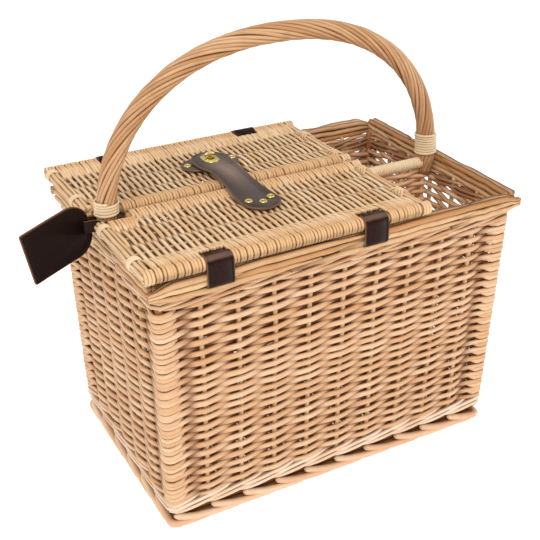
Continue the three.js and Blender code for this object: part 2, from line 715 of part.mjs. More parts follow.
/** Leather loops that tie each lid's hinge roll to the rim. */
function buildHingeLoops() {
  const rod = RIM_ROD / 2;
  const outerY = -RIM_WIDTH / 2 + rod;
  const innerY = -RIM_WIDTH / 2 + RIM_DEPTH - rod;
  const circles = [
    { x: -LID_HINGE_Y, y: LID_Z, radius: LOOP_ROLL_RADIUS },
    { x: outerY, y: LOOP_RIM_BOTTOM + rod, radius: rod },
    { x: innerY, y: LOOP_RIM_BOTTOM + rod, radius: rod },
    { x: innerY, y: RIM_TOP - rod, radius: rod },
  ];
  for (const [name, side] of [['front', -1], ['rear', 1]]) {
    LOOP_CENTRES.forEach((x, i) => {
      const band = beltBand(circles, LOOP_CLEARANCE, LOOP_LEATHER, LOOP_WIDTH, LOOP_ARC_STEPS);
      band.rotateX(Math.PI / 2).rotateZ(Math.PI / 2).translate(x - LOOP_WIDTH / 2, 0, 0);
      if (side > 0) {
        band.rotateZ(Math.PI).translate(2 * x, 0, 0);
      }
      add(`hinge_loop_${name}_${i === 0 ? 'left' : 'right'}`, band, DARK_LEATHER);
    });
  }
}

/** Arch of the carrying bow, a squared half ellipse in the XZ plane. */
class BowArch extends THREE.Curve {
  getPoint(t, target = new THREE.Vector3()) {
    const angle = Math.PI * (1 - t);
    const power = 2 / BOW_SQUARENESS;
    const along = Math.sign(Math.cos(angle)) * Math.abs(Math.cos(angle)) ** power;
    const rise = Math.abs(Math.sin(angle)) ** power;
    return target.set(BOW_CENTRE_X + BOW_HALF_SPAN * along, 0, BOW_FOOT_Z + BOW_RISE * rise);
  }
}

/** Roped bow: rods laid round the arch in a slow twist, with a core down each end wall. */
function buildBow() {
  const arch = new BowArch();
  arch.arcLengthDivisions = BOW_LENGTH_SAMPLES;
  const length = arch.getLength();
  const points = 2 * BOW_RODS;
  const front = new THREE.Vector3(0, -1, 0);
  const arms = spread(0, 1, BOW_STEPS).map((share) => {
    const centre = arch.getPointAt(share);
    const foot = share === 0 || share === 1;
    const ahead = foot ? new THREE.Vector3(0, 0, share ? -1 : 1) : arch.getTangentAt(share);
    const outward = new THREE.Vector3().crossVectors(front, ahead).normalize();
    const turn = (2 * Math.PI * share * length) / BOW_PITCH;
    return spread(0, 2 * Math.PI, points).slice(0, -1).map((angle, i) => {
      const radius = BOW_RADIUS - (i % 2) * BOW_ROD_RELIEF;
      return centre.clone()
        .addScaledVector(outward, radius * Math.cos(angle + turn))
        .addScaledVector(front, radius * Math.sin(angle + turn));
    });
  });
  const core = (side, z, share) => {
    const x = side < 0 ? CORE_LEFT_X : CORE_RIGHT_X;
    const turn = (2 * Math.PI * share * length) / BOW_PITCH;
    return spread(0, 2 * Math.PI, points).slice(0, -1).map((angle) => new THREE.Vector3(
      x + side * CORE_RADIUS * Math.cos(angle + turn),
      -CORE_RADIUS * Math.sin(angle + turn),
      z,
    ));
  };
  const bottom = BOW_FOOT_Z - CORE_DEPTH;
  const rings = [
    core(-1, bottom, 0),
    core(-1, BOW_FOOT_Z, 0),
    ...arms,
    core(1, BOW_FOOT_Z, 1),
    core(1, bottom, 1),
  ];
  add('carrying_bow', loft(rings), BOW_WILLOW);
}

/** Place along X of the bow's centre line on one side at height z. */
function bowLegX(side, z) {
  const rise = (z - BOW_FOOT_Z) / BOW_RISE;
  return BOW_CENTRE_X + side * BOW_HALF_SPAN * (1 - rise ** BOW_SQUARENESS) ** (1 / BOW_SQUARENESS);
}

/** Least gap between the turns of a wound cane, measured between the points of its middle line. */
function leastTurnGap(line) {
  const apart = BINDING_TURN_STEPS / 2;
  let least = Infinity;
  for (let i = 0; i < line.length; i += 1) {
    for (let j = i + apart; j < line.length; j += 1) {
      least = Math.min(least, line[i].distanceTo(line[j]));
    }
  }
  return least - BINDING_CANE;
}

/** Cane wound up round one foot of the bow as one tube, its turns a small gap apart. */
function buildBinding(name, side, bottom, turns) {
  const steps = Math.round(turns * BINDING_TURN_STEPS);
  const radius = BINDING_CANE / 2;
  const line = spread(0, turns, steps).map((turn) => {
    const angle = 2 * Math.PI * turn;
    const z = bottom + radius + turn * BINDING_PITCH;
    return new THREE.Vector3(
      bowLegX(side, z) + BINDING_RADIUS * Math.cos(angle),
      BINDING_RADIUS * Math.sin(angle),
      z,
    );
  });
  const rings = line.map((point, i) => {
    const angle = (2 * Math.PI * turns * i) / steps;
    const out = new THREE.Vector3(Math.cos(angle), Math.sin(angle), 0);
    return spread(0, 2 * Math.PI, BINDING_CANE_SIDES).slice(0, -1).map((around) => (
      point.clone().addScaledVector(out, radius * Math.cos(around)).add(
        new THREE.Vector3(0, 0, radius * Math.sin(around)),
      )
    ));
  });
  add(`bow_binding_${name}`, loft(rings), CANE);
  console.log(`bow_binding_${name}: least gap between turns ${leastTurnGap(line).toFixed(2)} mm`);
}

/** Half width of the strap's free end at a place along it. */
function tongueHalfWidth(y) {
  const head = STRAP_HEAD / 2;
  const headY = STRAP_END_Y - head;
  if (y > headY) {
    return Math.sqrt(head ** 2 - (y - headY) ** 2);
  }
  const share = THREE.MathUtils.smoothstep(y, headY - STRAP_FLARE, headY);
  return THREE.MathUtils.lerp(STRAP_WAIST, STRAP_HEAD, share) / 2;
}

/** Underside of the strap's free end: up over the lids' rolls, then flat over the lock plate. */
function tongueUnderside(y) {
  const start = PANEL_TOP + GAP;
  const over = LID_Z + LID_ROLL_RADIUS + GAP;
  const end = PANEL_TOP + LEATHER + 3 * GAP + LOCK_PLATE_THICKNESS;
  const climb = THREE.MathUtils.smoothstep(y, STRAP_BEND_Y, -LID_INNER_Y);
  const settle = THREE.MathUtils.smoothstep(y, LID_INNER_Y, LOCK_Y - STRAP_HEAD / 2);
  return THREE.MathUtils.lerp(THREE.MathUtils.lerp(start, over, climb), end, settle);
}

function buildStrap() {
  const anchorHead = ANCHOR_WIDTH / 2;
  const anchor = new THREE.Shape();
  anchor.moveTo(STRAP_X + STRAP_WAIST / 2, STRAP_BEND_Y - GAP);
  anchor.lineTo(STRAP_X - STRAP_WAIST / 2, STRAP_BEND_Y - GAP);
  anchor.lineTo(STRAP_X - anchorHead, ANCHOR_RIVET_Y);
  anchor.absarc(STRAP_X, ANCHOR_END_Y + anchorHead, anchorHead, Math.PI, 2 * Math.PI, false);
  anchor.lineTo(STRAP_X + anchorHead, ANCHOR_RIVET_Y);
  const shank = RIVET_SHANK_RADIUS + GAP;
  const rivets = [-1, 0, 1].map((k) => [
    STRAP_X + k * ANCHOR_RIVET_SPREAD,
    ANCHOR_RIVET_Y - (1 - Math.abs(k)) * ANCHOR_RIVET_SAG,
  ]);
  for (const [x, y] of rivets) {
    anchor.holes.push(new THREE.Path().absarc(x, y, shank, 0, 2 * Math.PI, true));
  }
  add('strap_anchor', plateFrom(anchor, PANEL_TOP + GAP, LEATHER), DARK_LEATHER);
  rivets.forEach(([x, y], i) => {
    add(`anchor_rivet_${i + 1}`, rivetAt(x, y, PANEL_TOP + GAP + LEATHER), BRASS);
  });
  const end = STRAP_END_Y - GAP;
  const stations = [
    ...spread(STRAP_BEND_Y, LOCK_Y - STRAP_HEAD / 2, 9),
    ...spread(LOCK_Y - STRAP_HEAD / 4, end, 7),
  ];
  const rings = stations.map((y) => {
    const half = tongueHalfWidth(y);
    const under = tongueUnderside(y);
    return [
      new THREE.Vector3(STRAP_X - half, y, under),
      new THREE.Vector3(STRAP_X + half, y, under),
      new THREE.Vector3(STRAP_X + half, y, under + LEATHER),
      new THREE.Vector3(STRAP_X - half, y, under + LEATHER),
    ];
  });
  const hole = plateFrom(slotShape(STRAP_X, LOCK_Y, EYELET_LENGTH, EYELET_WIDTH), LID_Z, 2 * LID_ROLL);
  add('clasp_strap', cut(loft(rings), hole), DARK_LEATHER);
}

/** Tubular rivet: a domed head with a dimple, and a shank down through the leather. */
function rivetAt(x, y, seat) {
  const head = (radius, height) => (
    new THREE.Vector2(radius * RIVET_HEAD_RADIUS, GAP + height * RIVET_HEAD_HEIGHT)
  );
  const profile = [
    new THREE.Vector2(0, GAP - LEATHER),
    new THREE.Vector2(RIVET_SHANK_RADIUS, GAP - LEATHER),
    new THREE.Vector2(RIVET_SHANK_RADIUS, GAP),
    head(1, 0),
    head(RIVET_SHOULDER.radius, RIVET_SHOULDER.height),
    head(RIVET_CROWN_RADIUS, 1),
    head(0, RIVET_DIMPLE_HEIGHT),
  ];
  return new THREE.LatheGeometry(profile, RIVET_SIDES).rotateX(Math.PI / 2).translate(x, y, seat);
}

function buildLock() {
  const seat = PANEL_TOP + GAP;
  const half = PATCH_LENGTH / 2;
  const round = PATCH_WIDTH / 2;
  const patch = new THREE.Shape();
  patch.absarc(STRAP_X + half - round, LOCK_Y, round, -Math.PI / 2, Math.PI / 2, false);
  patch.absarc(STRAP_X - half + round, LOCK_Y, round, Math.PI / 2, 1.5 * Math.PI, false);
  const ends = [-1, 1].map((k) => STRAP_X + k * (half - PATCH_RIVET_INSET));
  for (const x of ends) {
    patch.holes.push(new THREE.Path().absarc(x, LOCK_Y, RIVET_SHANK_RADIUS + GAP, 0, 2 * Math.PI, true));
  }
  add('lock_patch', plateFrom(patch, seat, LEATHER), DARK_LEATHER);
  ends.forEach((x, i) => add(`patch_rivet_${i + 1}`, rivetAt(x, LOCK_Y, seat + LEATHER), BRASS));
  const plateSeat = seat + LEATHER + GAP;
  const plate = slotShape(STRAP_X, LOCK_Y, LOCK_PLATE_LENGTH, LOCK_PLATE_WIDTH);
  add('lock_plate', plateFrom(plate, plateSeat, LOCK_PLATE_THICKNESS), BRASS);
  buildKnob(plateSeat + LOCK_PLATE_THICKNESS + GAP);
}

/** Turn knob: a stem through the strap's slot under a rounded bar that lies across it. */
function buildKnob(seat) {
  const barBottom = tongueUnderside(LOCK_Y) + LEATHER + EYELET_PLATE + 2 * GAP;
  const ring = (length, width, z) => spread(0, 2 * Math.PI, KNOB_SIDES).slice(0, -1).map((angle) => (
    new THREE.Vector3(STRAP_X + (length * Math.cos(angle)) / 2, LOCK_Y + (width * Math.sin(angle)) / 2, z)
  ));
  const stem = 2 * KNOB_STEM_RADIUS;
  const rings = [
    ring(stem, stem, seat),
    ring(KNOB_NECK * stem, KNOB_NECK * stem, barBottom),
    ...KNOB_SECTIONS.map(({ scale, height }) => (
      ring(scale * KNOB_LENGTH, scale * KNOB_WIDTH, barBottom + height * KNOB_HEIGHT)
    )),
  ];
  add('turn_knob', loft(rings), BRASS);
}

/** Luggage tag: two square corners outside, two broad round ones by its slot. */
function buildTag() {
  const half = TAG_WIDTH / 2;
  const shape = new THREE.Shape();
  shape.moveTo(-TAG_LENGTH, -half);
  shape.lineTo(-TAG_CORNER, -half);
  shape.absarc(-TAG_CORNER, -half + TAG_CORNER, TAG_CORNER, -Math.PI / 2, 0, false);
  shape.absarc(-TAG_CORNER, half - TAG_CORNER, TAG_CORNER, 0, Math.PI / 2, false);
  shape.lineTo(-TAG_LENGTH, half);
  shape.closePath();
  const loopZ = BOW_FOOT_Z + TAG_LOOP_WIDTH / 2;
  const tilt = THREE.MathUtils.degToRad(TAG_TILT);
  const swung = (geometry) => geometry.translate(-BOW_LEFT_X, 0, 0)
    .rotateZ(THREE.MathUtils.degToRad(TAG_SWING)).translate(BOW_LEFT_X, 0, 0);
  const slotLength = TAG_LOOP_WIDTH + 4 * GAP;
  const slotX = TAG_INNER_X - TAG_SLOT_INSET;
  const plate = plateFrom(shape, -TAG_LEATHER / 2, TAG_LEATHER);
  plate.rotateZ(tilt).translate(TAG_INNER_X, loopZ + TAG_RISE, 0).rotateX(Math.PI / 2);
  const slot = boxBetween(
    [slotX - TAG_SLOT_WIDTH / 2, -TAG_LEATHER, loopZ - slotLength / 2],
    [slotX + TAG_SLOT_WIDTH / 2, TAG_LEATHER, loopZ + slotLength / 2],
  );
  add('tag', swung(cut(plate, slot)), DARK_LEATHER);
  const far = slotX + TAG_SLOT_WIDTH / 2;
  const lean = bowLegX(-1, BOW_FOOT_Z + TAG_LOOP_WIDTH) - BOW_LEFT_X;
  const circles = [
    { x: BOW_LEFT_X + lean / 2, y: 0, radius: BOW_RADIUS + lean / 2 },
    { x: far, y: 0, radius: TAG_LEATHER / 2 },
  ];
  const loop = beltBand(circles, TAG_LOOP_EASE, TAG_LOOP_LEATHER, TAG_LOOP_WIDTH, TAG_LOOP_ARC_STEPS);
  add('tag_loop', swung(loop.translate(0, 0, BOW_FOOT_Z)), DARK_LEATHER);
}

buildFoot();
buildBase();
buildWalls();
buildCornerPosts();
buildRim();
buildPartitions();
buildBow();
buildBinding('left', -1, BOW_FOOT_Z + TAG_LOOP_WIDTH + GAP, BINDING_LEFT_TURNS);
buildBinding('right', 1, BOW_FOOT_Z, BINDING_RIGHT_TURNS);
buildLids();
buildHingeLoops();
buildStrap();
buildLock();
buildTag();

export default hamper;
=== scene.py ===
"""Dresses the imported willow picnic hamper.

Every woven, roped, leather and brass piece is worked out as whole arrays in millimetres, stands
where its solid stands and rides on that solid's body.
"""

from __future__ import annotations

import logging
import math
from dataclasses import dataclass
from enum import Enum

import bpy
import numpy as np
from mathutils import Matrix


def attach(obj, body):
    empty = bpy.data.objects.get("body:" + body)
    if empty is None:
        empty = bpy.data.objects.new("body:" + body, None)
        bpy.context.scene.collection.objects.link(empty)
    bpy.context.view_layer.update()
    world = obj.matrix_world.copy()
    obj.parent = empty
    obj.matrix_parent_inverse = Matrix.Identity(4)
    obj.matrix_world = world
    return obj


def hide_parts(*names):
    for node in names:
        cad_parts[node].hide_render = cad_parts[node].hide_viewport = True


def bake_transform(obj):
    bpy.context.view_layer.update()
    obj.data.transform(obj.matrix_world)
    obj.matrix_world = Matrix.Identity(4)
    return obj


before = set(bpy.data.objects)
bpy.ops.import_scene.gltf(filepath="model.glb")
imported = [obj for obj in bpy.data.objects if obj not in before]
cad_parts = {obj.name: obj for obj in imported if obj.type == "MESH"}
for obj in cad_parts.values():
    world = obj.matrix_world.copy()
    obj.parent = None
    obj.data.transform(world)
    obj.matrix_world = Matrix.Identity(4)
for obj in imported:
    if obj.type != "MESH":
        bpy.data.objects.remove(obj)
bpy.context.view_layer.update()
LOG = logging.getLogger("hamper")
MM = 0.001
TURN = 2.0 * math.pi
X_AXIS, Y_AXIS, UP = np.eye(3)
Socket = bpy.types.NodeSocket


def eased(low: float, high: float, value: np.ndarray) -> np.ndarray:
    """Step that eases from 0 at low to 1 at high, 3t^2 - 2t^3.

    Args:
        low: value where the step starts.
        high: value where the step ends.
        value: values to map.

    Returns:
        Eased shares, as the values' shape.
    """
    share = np.clip((value - low) / (high - low), 0.0, 1.0)
    return share * share * (3.0 - 2.0 * share)


def unit(vectors: np.ndarray) -> np.ndarray:
    """Vectors scaled to a length of 1 along the last axis."""
    return vectors / np.linalg.norm(vectors, axis=-1, keepdims=True)


def hoop(count: int) -> np.ndarray:
    """Even angles once round a ring."""
    return np.arange(count) * TURN / count


def points(x: np.ndarray | float, y: np.ndarray | float, z: np.ndarray | float) -> np.ndarray:
    """Points of coordinates that broadcast against each other, with a last axis of 3."""
    return np.stack(np.broadcast_arrays(x, y, z), axis=-1)


def lifted(flat: np.ndarray, z: np.ndarray | float) -> np.ndarray:
    """Points of a plan, with a last axis of 2, lifted to heights that broadcast to them."""
    return points(flat[..., 0], flat[..., 1], z)


def with_ends(values: np.ndarray, axis: int = 1) -> np.ndarray:
    """Values with the first and the last one along an axis given twice."""
    return np.concatenate([values.take([0], axis), values, values.take([-1], axis)], axis)


def run_along(line: np.ndarray) -> np.ndarray:
    """Length run from the first point of a line to each of its points."""
    return np.concatenate([[0.0], np.cumsum(np.linalg.norm(np.diff(line, axis=0), axis=1))])


def evenly(line: np.ndarray, count: int, closed: bool) -> np.ndarray:
    """Points spaced evenly by length along a plane line.

    Args:
        line: points shaped (n, 2).
        count: number of points wanted.
        closed: True where the line ends on its first point, which is then left out.

    Returns:
        Points shaped (count, 2).
    """
    run = run_along(line)
    even = np.linspace(0.0, run[-1], count, endpoint=not closed)
    return np.stack([np.interp(even, run, line[:, k]) for k in range(2)], axis=-1)


def waver(rng: np.random.Generator, rows: int, along: np.ndarray, size: float) -> np.ndarray:
    """Slow random waver of each rod: three sines of rising rate with random phases.

    Args:
        rng: seeded random source.
        rows: number of rods.
        along: place along each rod, in waves, shaped (rows, points) or (points,).
        size: greatest departure.

    Returns:
        Departures shaped (rows, points).
    """
    phase = rng.uniform(0.0, TURN, (3, rows, 1))
    rate = np.array([1.0, 1.7, 2.9]).reshape(3, 1, 1)
    return size * np.sin(TURN * rate * along + phase).mean(axis=0)


def linear(hex_colour: str) -> tuple[float, float, float, float]:
    """Linear colour of an sRGB hex value.

    Args:
        hex_colour: six hex digits after a hash.

    Returns:
        Linear red, green, blue and an alpha of 1.
    """
    values = np.array([int(hex_colour[i:i + 2], 16) for i in (1, 3, 5)]) / 255.0
    low = values / 12.92
    high = ((values + 0.055) / 1.055) ** 2.4
    red, green, blue = np.where(values <= 0.04045, low, high)
    return float(red), float(green), float(blue), 1.0


def feed(tree: bpy.types.NodeTree, node: bpy.types.Node, inputs: dict) -> None:
    """Links or sets a node's inputs.

    Args:
        tree: tree that holds the node.
        node: node to feed.
        inputs: socket name or number to a value or to the socket that feeds it.
    """
    for key, value in inputs.items():
        if isinstance(value, Socket):
            tree.links.new(value, node.inputs[key])
        else:
            node.inputs[key].default_value = value


def add_node(tree: bpy.types.NodeTree, kind: str, inputs: dict, **settings: object) -> bpy.types.Node:
    """Adds a node, sets it up and feeds its inputs.

    Args:
        tree: tree that takes the node.
        kind: the node's type name after ShaderNode.
        inputs: socket name or number to a value or to the socket that feeds it.
        settings: the node's own properties.

    Returns:
        The new node.
    """
    node = tree.nodes.new(f"ShaderNode{kind}")
    for key, value in settings.items():
        setattr(node, key, value)
    feed(tree, node, inputs)
    return node


def link(thing: bpy.types.Object) -> bpy.types.Object:
    """Puts a new object into the scene."""
    bpy.context.scene.collection.objects.link(thing)
    return thing


class Body(Enum):
    """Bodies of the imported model."""

    BASKET = "basket"
    FRONT_LID = "front_lid"
    REAR_LID = "rear_lid"
    STRAP = "strap"
    KNOB = "knob"
    TAG = "luggage_tag"


class Surface:
    """One material under way, with the nodes that several finishes share."""

    def __init__(self, name: str) -> None:
        """Starts a material with its principled shader.

        Args:
            name: the material's name.
        """
        self.made = bpy.data.materials.new(name)
        self.made.use_nodes = True
        self.tree = self.made.node_tree

    def attribute(self, name: str) -> Socket:
        """Value of a mesh's own attribute."""
        return add_node(self.tree, "Attribute", {}, attribute_name=name).outputs["Fac"]

    def place(self) -> Socket:
        """Object coordinates, in metres."""
        return add_node(self.tree, "TexCoord", {}).outputs["Object"]

    def noise(self, vector: Socket, scale: float, detail: float) -> Socket:
        """Cloudy noise of a scale in features for each unit of the vector."""
        inputs = {"Vector": vector, "Scale": scale, "Detail": detail}
        return add_node(self.tree, "TexNoise", inputs).outputs["Fac"]

    def ramp(
        self, value: Socket, low: float, high: float, start: float, end: float, kind: str = "LINEAR",
    ) -> Socket:
        """Value mapped from low and high to start and end.

        Args:
            value: socket to map.
            low: value that gives the start.
            high: value that gives the end.
            start: result at low.
            end: result at high.
            kind: how the result runs between them.

        Returns:
            The mapped socket.
        """
        inputs = {0: value, 1: low, 2: high, 3: start, 4: end}
        return add_node(self.tree, "MapRange", inputs, interpolation_type=kind).outputs[0]

    def mix(self, share: Socket, first: Socket | str, second: str) -> Socket:
        """Colour that goes from the first one, a socket or a hex value, to the second by a share."""
        inputs = {0: share, 6: linear(first) if isinstance(first, str) else first, 7: linear(second)}
        return add_node(self.tree, "Mix", inputs, data_type="RGBA").outputs[2]

    def bump(self, height: Socket, strength: float, depth: float, invert: bool = False) -> Socket:
        """Normal of a fine relief whose depth is in millimetres."""
        inputs = {"Strength": strength, "Distance": depth * MM, "Height": height}
        return add_node(self.tree, "Bump", inputs, invert=invert).outputs[0]

    def finished(self, inputs: dict) -> bpy.types.Material:
        """Feeds the principled shader and gives the material."""
        feed(self.tree, self.tree.nodes["Principled BSDF"], inputs)
        return self.made


@dataclass(frozen=True)
class Willow:
    """Peeled willow rod, boiled buff and woven damp.

    The bark's tannin leaves each rod its own honey tone, the grain shows as fine streaks along it,
    and the peeled skin keeps a soft satin gloss. Where rods lie against each other, pass behind
    others or tuck in, painted shade darkens them towards a deep red brown. Real grain is finer: the
    streaks are drawn as broad as they need to show.
    """

    name: str
    pale: str
    deep: str
    streak: str
    # Colour of the painted shade where rods are covered or lie together.
    painted_shade: str = "#7A4520"
    roughness: float = 0.46
    streak_length: float = 26.0
    streak_width: float = 0.9
    streak_share: float = 0.55
    blotch: float = 17.0
    blotch_share: float = 0.4
    relief: float = 0.25
    ior: float = 1.47
    shine: float = 0.3
    slot: str = "willow"

    def material(self) -> bpy.types.Material:
        """Builds the rod's material from its tint and edge attributes and its UV map in metres.

        Returns:
            The material.
        """
        made = Surface(self.name)
        rod_map = add_node(made.tree, "UVMap", {}, uv_map="rod").outputs[0]
        stretch = (1.0 / (self.streak_length * MM), 1.0 / (self.streak_width * MM), 1.0)
        along = add_node(made.tree, "Mapping", {"Vector": rod_map, "Scale": stretch}).outputs[0]
        streaks = made.noise(along, 1.0, 3.0)
        blotches = made.noise(made.place(), 1.0 / (self.blotch * MM), 2.0)
        patch = made.ramp(blotches, 0.42, 0.72, 0.0, self.blotch_share, "SMOOTHSTEP")
        grain = made.ramp(streaks, 0.5, 0.78, 0.0, self.streak_share, "SMOOTHSTEP")
        rod = made.mix(made.attribute("tint"), self.pale, self.deep)
        grained = made.mix(grain, made.mix(patch, rod, self.deep), self.streak)
        return made.finished({
            # The edge attribute is the share of painted shade, mixed towards the shade colour.
            "Base Color": made.mix(made.attribute("edge"), grained, self.painted_shade),
            "Roughness": made.ramp(streaks, 0.3, 0.8, self.roughness - 0.06, self.roughness + 0.14),
            "Normal": made.bump(streaks, 0.25, self.relief),
            "IOR": self.ior,
            "Specular IOR Level": self.shine,
        })


@dataclass(frozen=True)
class Leather:
    """Drum-dyed harness leather, plated smooth and waxed.

    The dye goes nearly black in the grain's valleys, a painted highlight in a paler brown is laid
    where the leather bends or bows, and the cut edges keep a burnished tone. Real pebbles are about
    half as wide: they are drawn as coarse as they need to show.
    """

    name: str
    face: str
    grain: str
    edge: str
    # Colour of the painted highlight.
    highlight_colour: str
    roughness: float
    shine: float
    pebble: float = 1.6
    pebble_share: float = 0.8
    cloud: float = 14.0
    relief: float = 0.3
    ior: float = 1.5
    slot: str = "dark_leather"

    def material(self) -> bpy.types.Material:
        """Builds the hide's material from Object coordinates and the tint and edge attributes.

        Returns:
            The material.
        """
        made = Surface(self.name)
        place = made.place()
        cells = {"Vector": place, "Scale": 1.0 / (self.pebble * MM)}
        pebbles = add_node(made.tree, "TexVoronoi", cells, feature="SMOOTH_F1").outputs["Distance"]
        cloud = made.noise(place, 1.0 / (self.cloud * MM), 4.0)
        hide = made.mix(made.ramp(pebbles, 0.25, 0.75, 0.0, self.pebble_share), self.face, self.grain)
        # The tint attribute is the share of painted highlight, mixed towards the highlight colour.
        polished = made.mix(made.attribute("tint"), hide, self.highlight_colour)
        return made.finished({
            "Base Color": made.mix(made.attribute("edge"), polished, self.edge),
            "Roughness": made.ramp(cloud, 0.3, 0.7, self.roughness - 0.08, self.roughness + 0.1),
            "Normal": made.bump(pebbles, 0.35, self.relief, invert=True),
            "IOR": self.ior,
            "Specular IOR Level": self.shine,
        })


@dataclass(frozen=True)
class Brass:
    """Stamped brass, barrel polished and lacquered.

    Tumbling leaves a bright pale gold with faint swirls, which are drawn as coarse as they need to
    show.
    """

    name: str
    bright: str
    dull: str
    roughness: float = 0.2
    swirl: float = 2.4
    slot: str = "brass"

    def material(self) -> bpy.types.Material:
        """Builds the metal's material from Object coordinates.

        Returns:
            The material.
        """
        made = Surface(self.name)
        swirls = made.noise(made.place(), 1.0 / (self.swirl * MM), 5.0)
        return made.finished({
            "Base Color": made.mix(swirls, self.bright, self.dull),
            "Roughness": made.ramp(swirls, 0.3, 0.7, self.roughness - 0.06, self.roughness + 0.12),
            "Metallic": 1.0,
        })


Finish = Willow | Leather | Brass

# A willow's fourth colour, where given, is the colour of its painted shade.
WEAVE_WILLOW = Willow("willow_buff_woven", "#F2CEA8", "#DBA878", "#B57C4A")
WALE_WILLOW = Willow("willow_buff_waling", "#FAE4CC", "#EBC59E", "#CB9C70")
STAKE_WILLOW = Willow("willow_buff_stakes", "#C08350", "#945830", "#6E3D1E")
UPRIGHT_WILLOW = Willow("willow_buff_side_stakes", "#EDCBA2", "#D5A473", "#AF7B4C")
BORDER_WILLOW = Willow(
    "willow_buff_border", "#EAC496", "#C68C56", "#8A562C", "#4E2A14", slot="border_willow",
)
FOOT_WILLOW = Willow("willow_buff_foot", "#F5D4B2", "#E4B48C", "#BF8A62", "#7C4C2A", slot="border_willow")
LID_WILLOW = Willow("willow_buff_lid", "#FADAB0", "#E8BA86", "#B98752", "#4E2A12")
BOW_WILLOW = Willow("willow_buff_bow", "#E2B68A", "#C08D5E", "#8C5C36", slot="bow_willow", roughness=0.42)
SPLIT_CANE = Willow("cane_split_shaved", "#FBE5C2", "#EACA9E", "#C6A074", slot="cane", roughness=0.4)
# A leather's fourth colour is the colour of its painted highlight.
STRAP_LEATHER = Leather("leather_harness_brown", "#463127", "#302018", "#7E5D48", "#987B66", 0.24, 0.48)
LOOP_LEATHER = Leather("leather_loop_brown", "#2E1811", "#190B08", "#8A6242", "#7C5D4E", 0.28, 0.1)
TAG_LEATHER = Leather("leather_tag_brown", "#201210", "#110807", "#7A5235", "#3A2620", 0.5, 0.12)
LOCK_BRASS = Brass("brass_stamped_polished", "#F6E7A8", "#DCC06A")

MATERIALS: dict[str, bpy.types.Material] = {}


def dress(piece: bpy.types.Object, finish: Finish) -> None:
    """Gives a piece its finish.

    Args:
        piece: object to dress.
        finish: finish to give it.
    """
    if finish.name not in MATERIALS:
        MATERIALS[finish.name] = finish.material()
    piece.data.materials.clear()
    piece.data.materials.append(MATERIALS[finish.name])


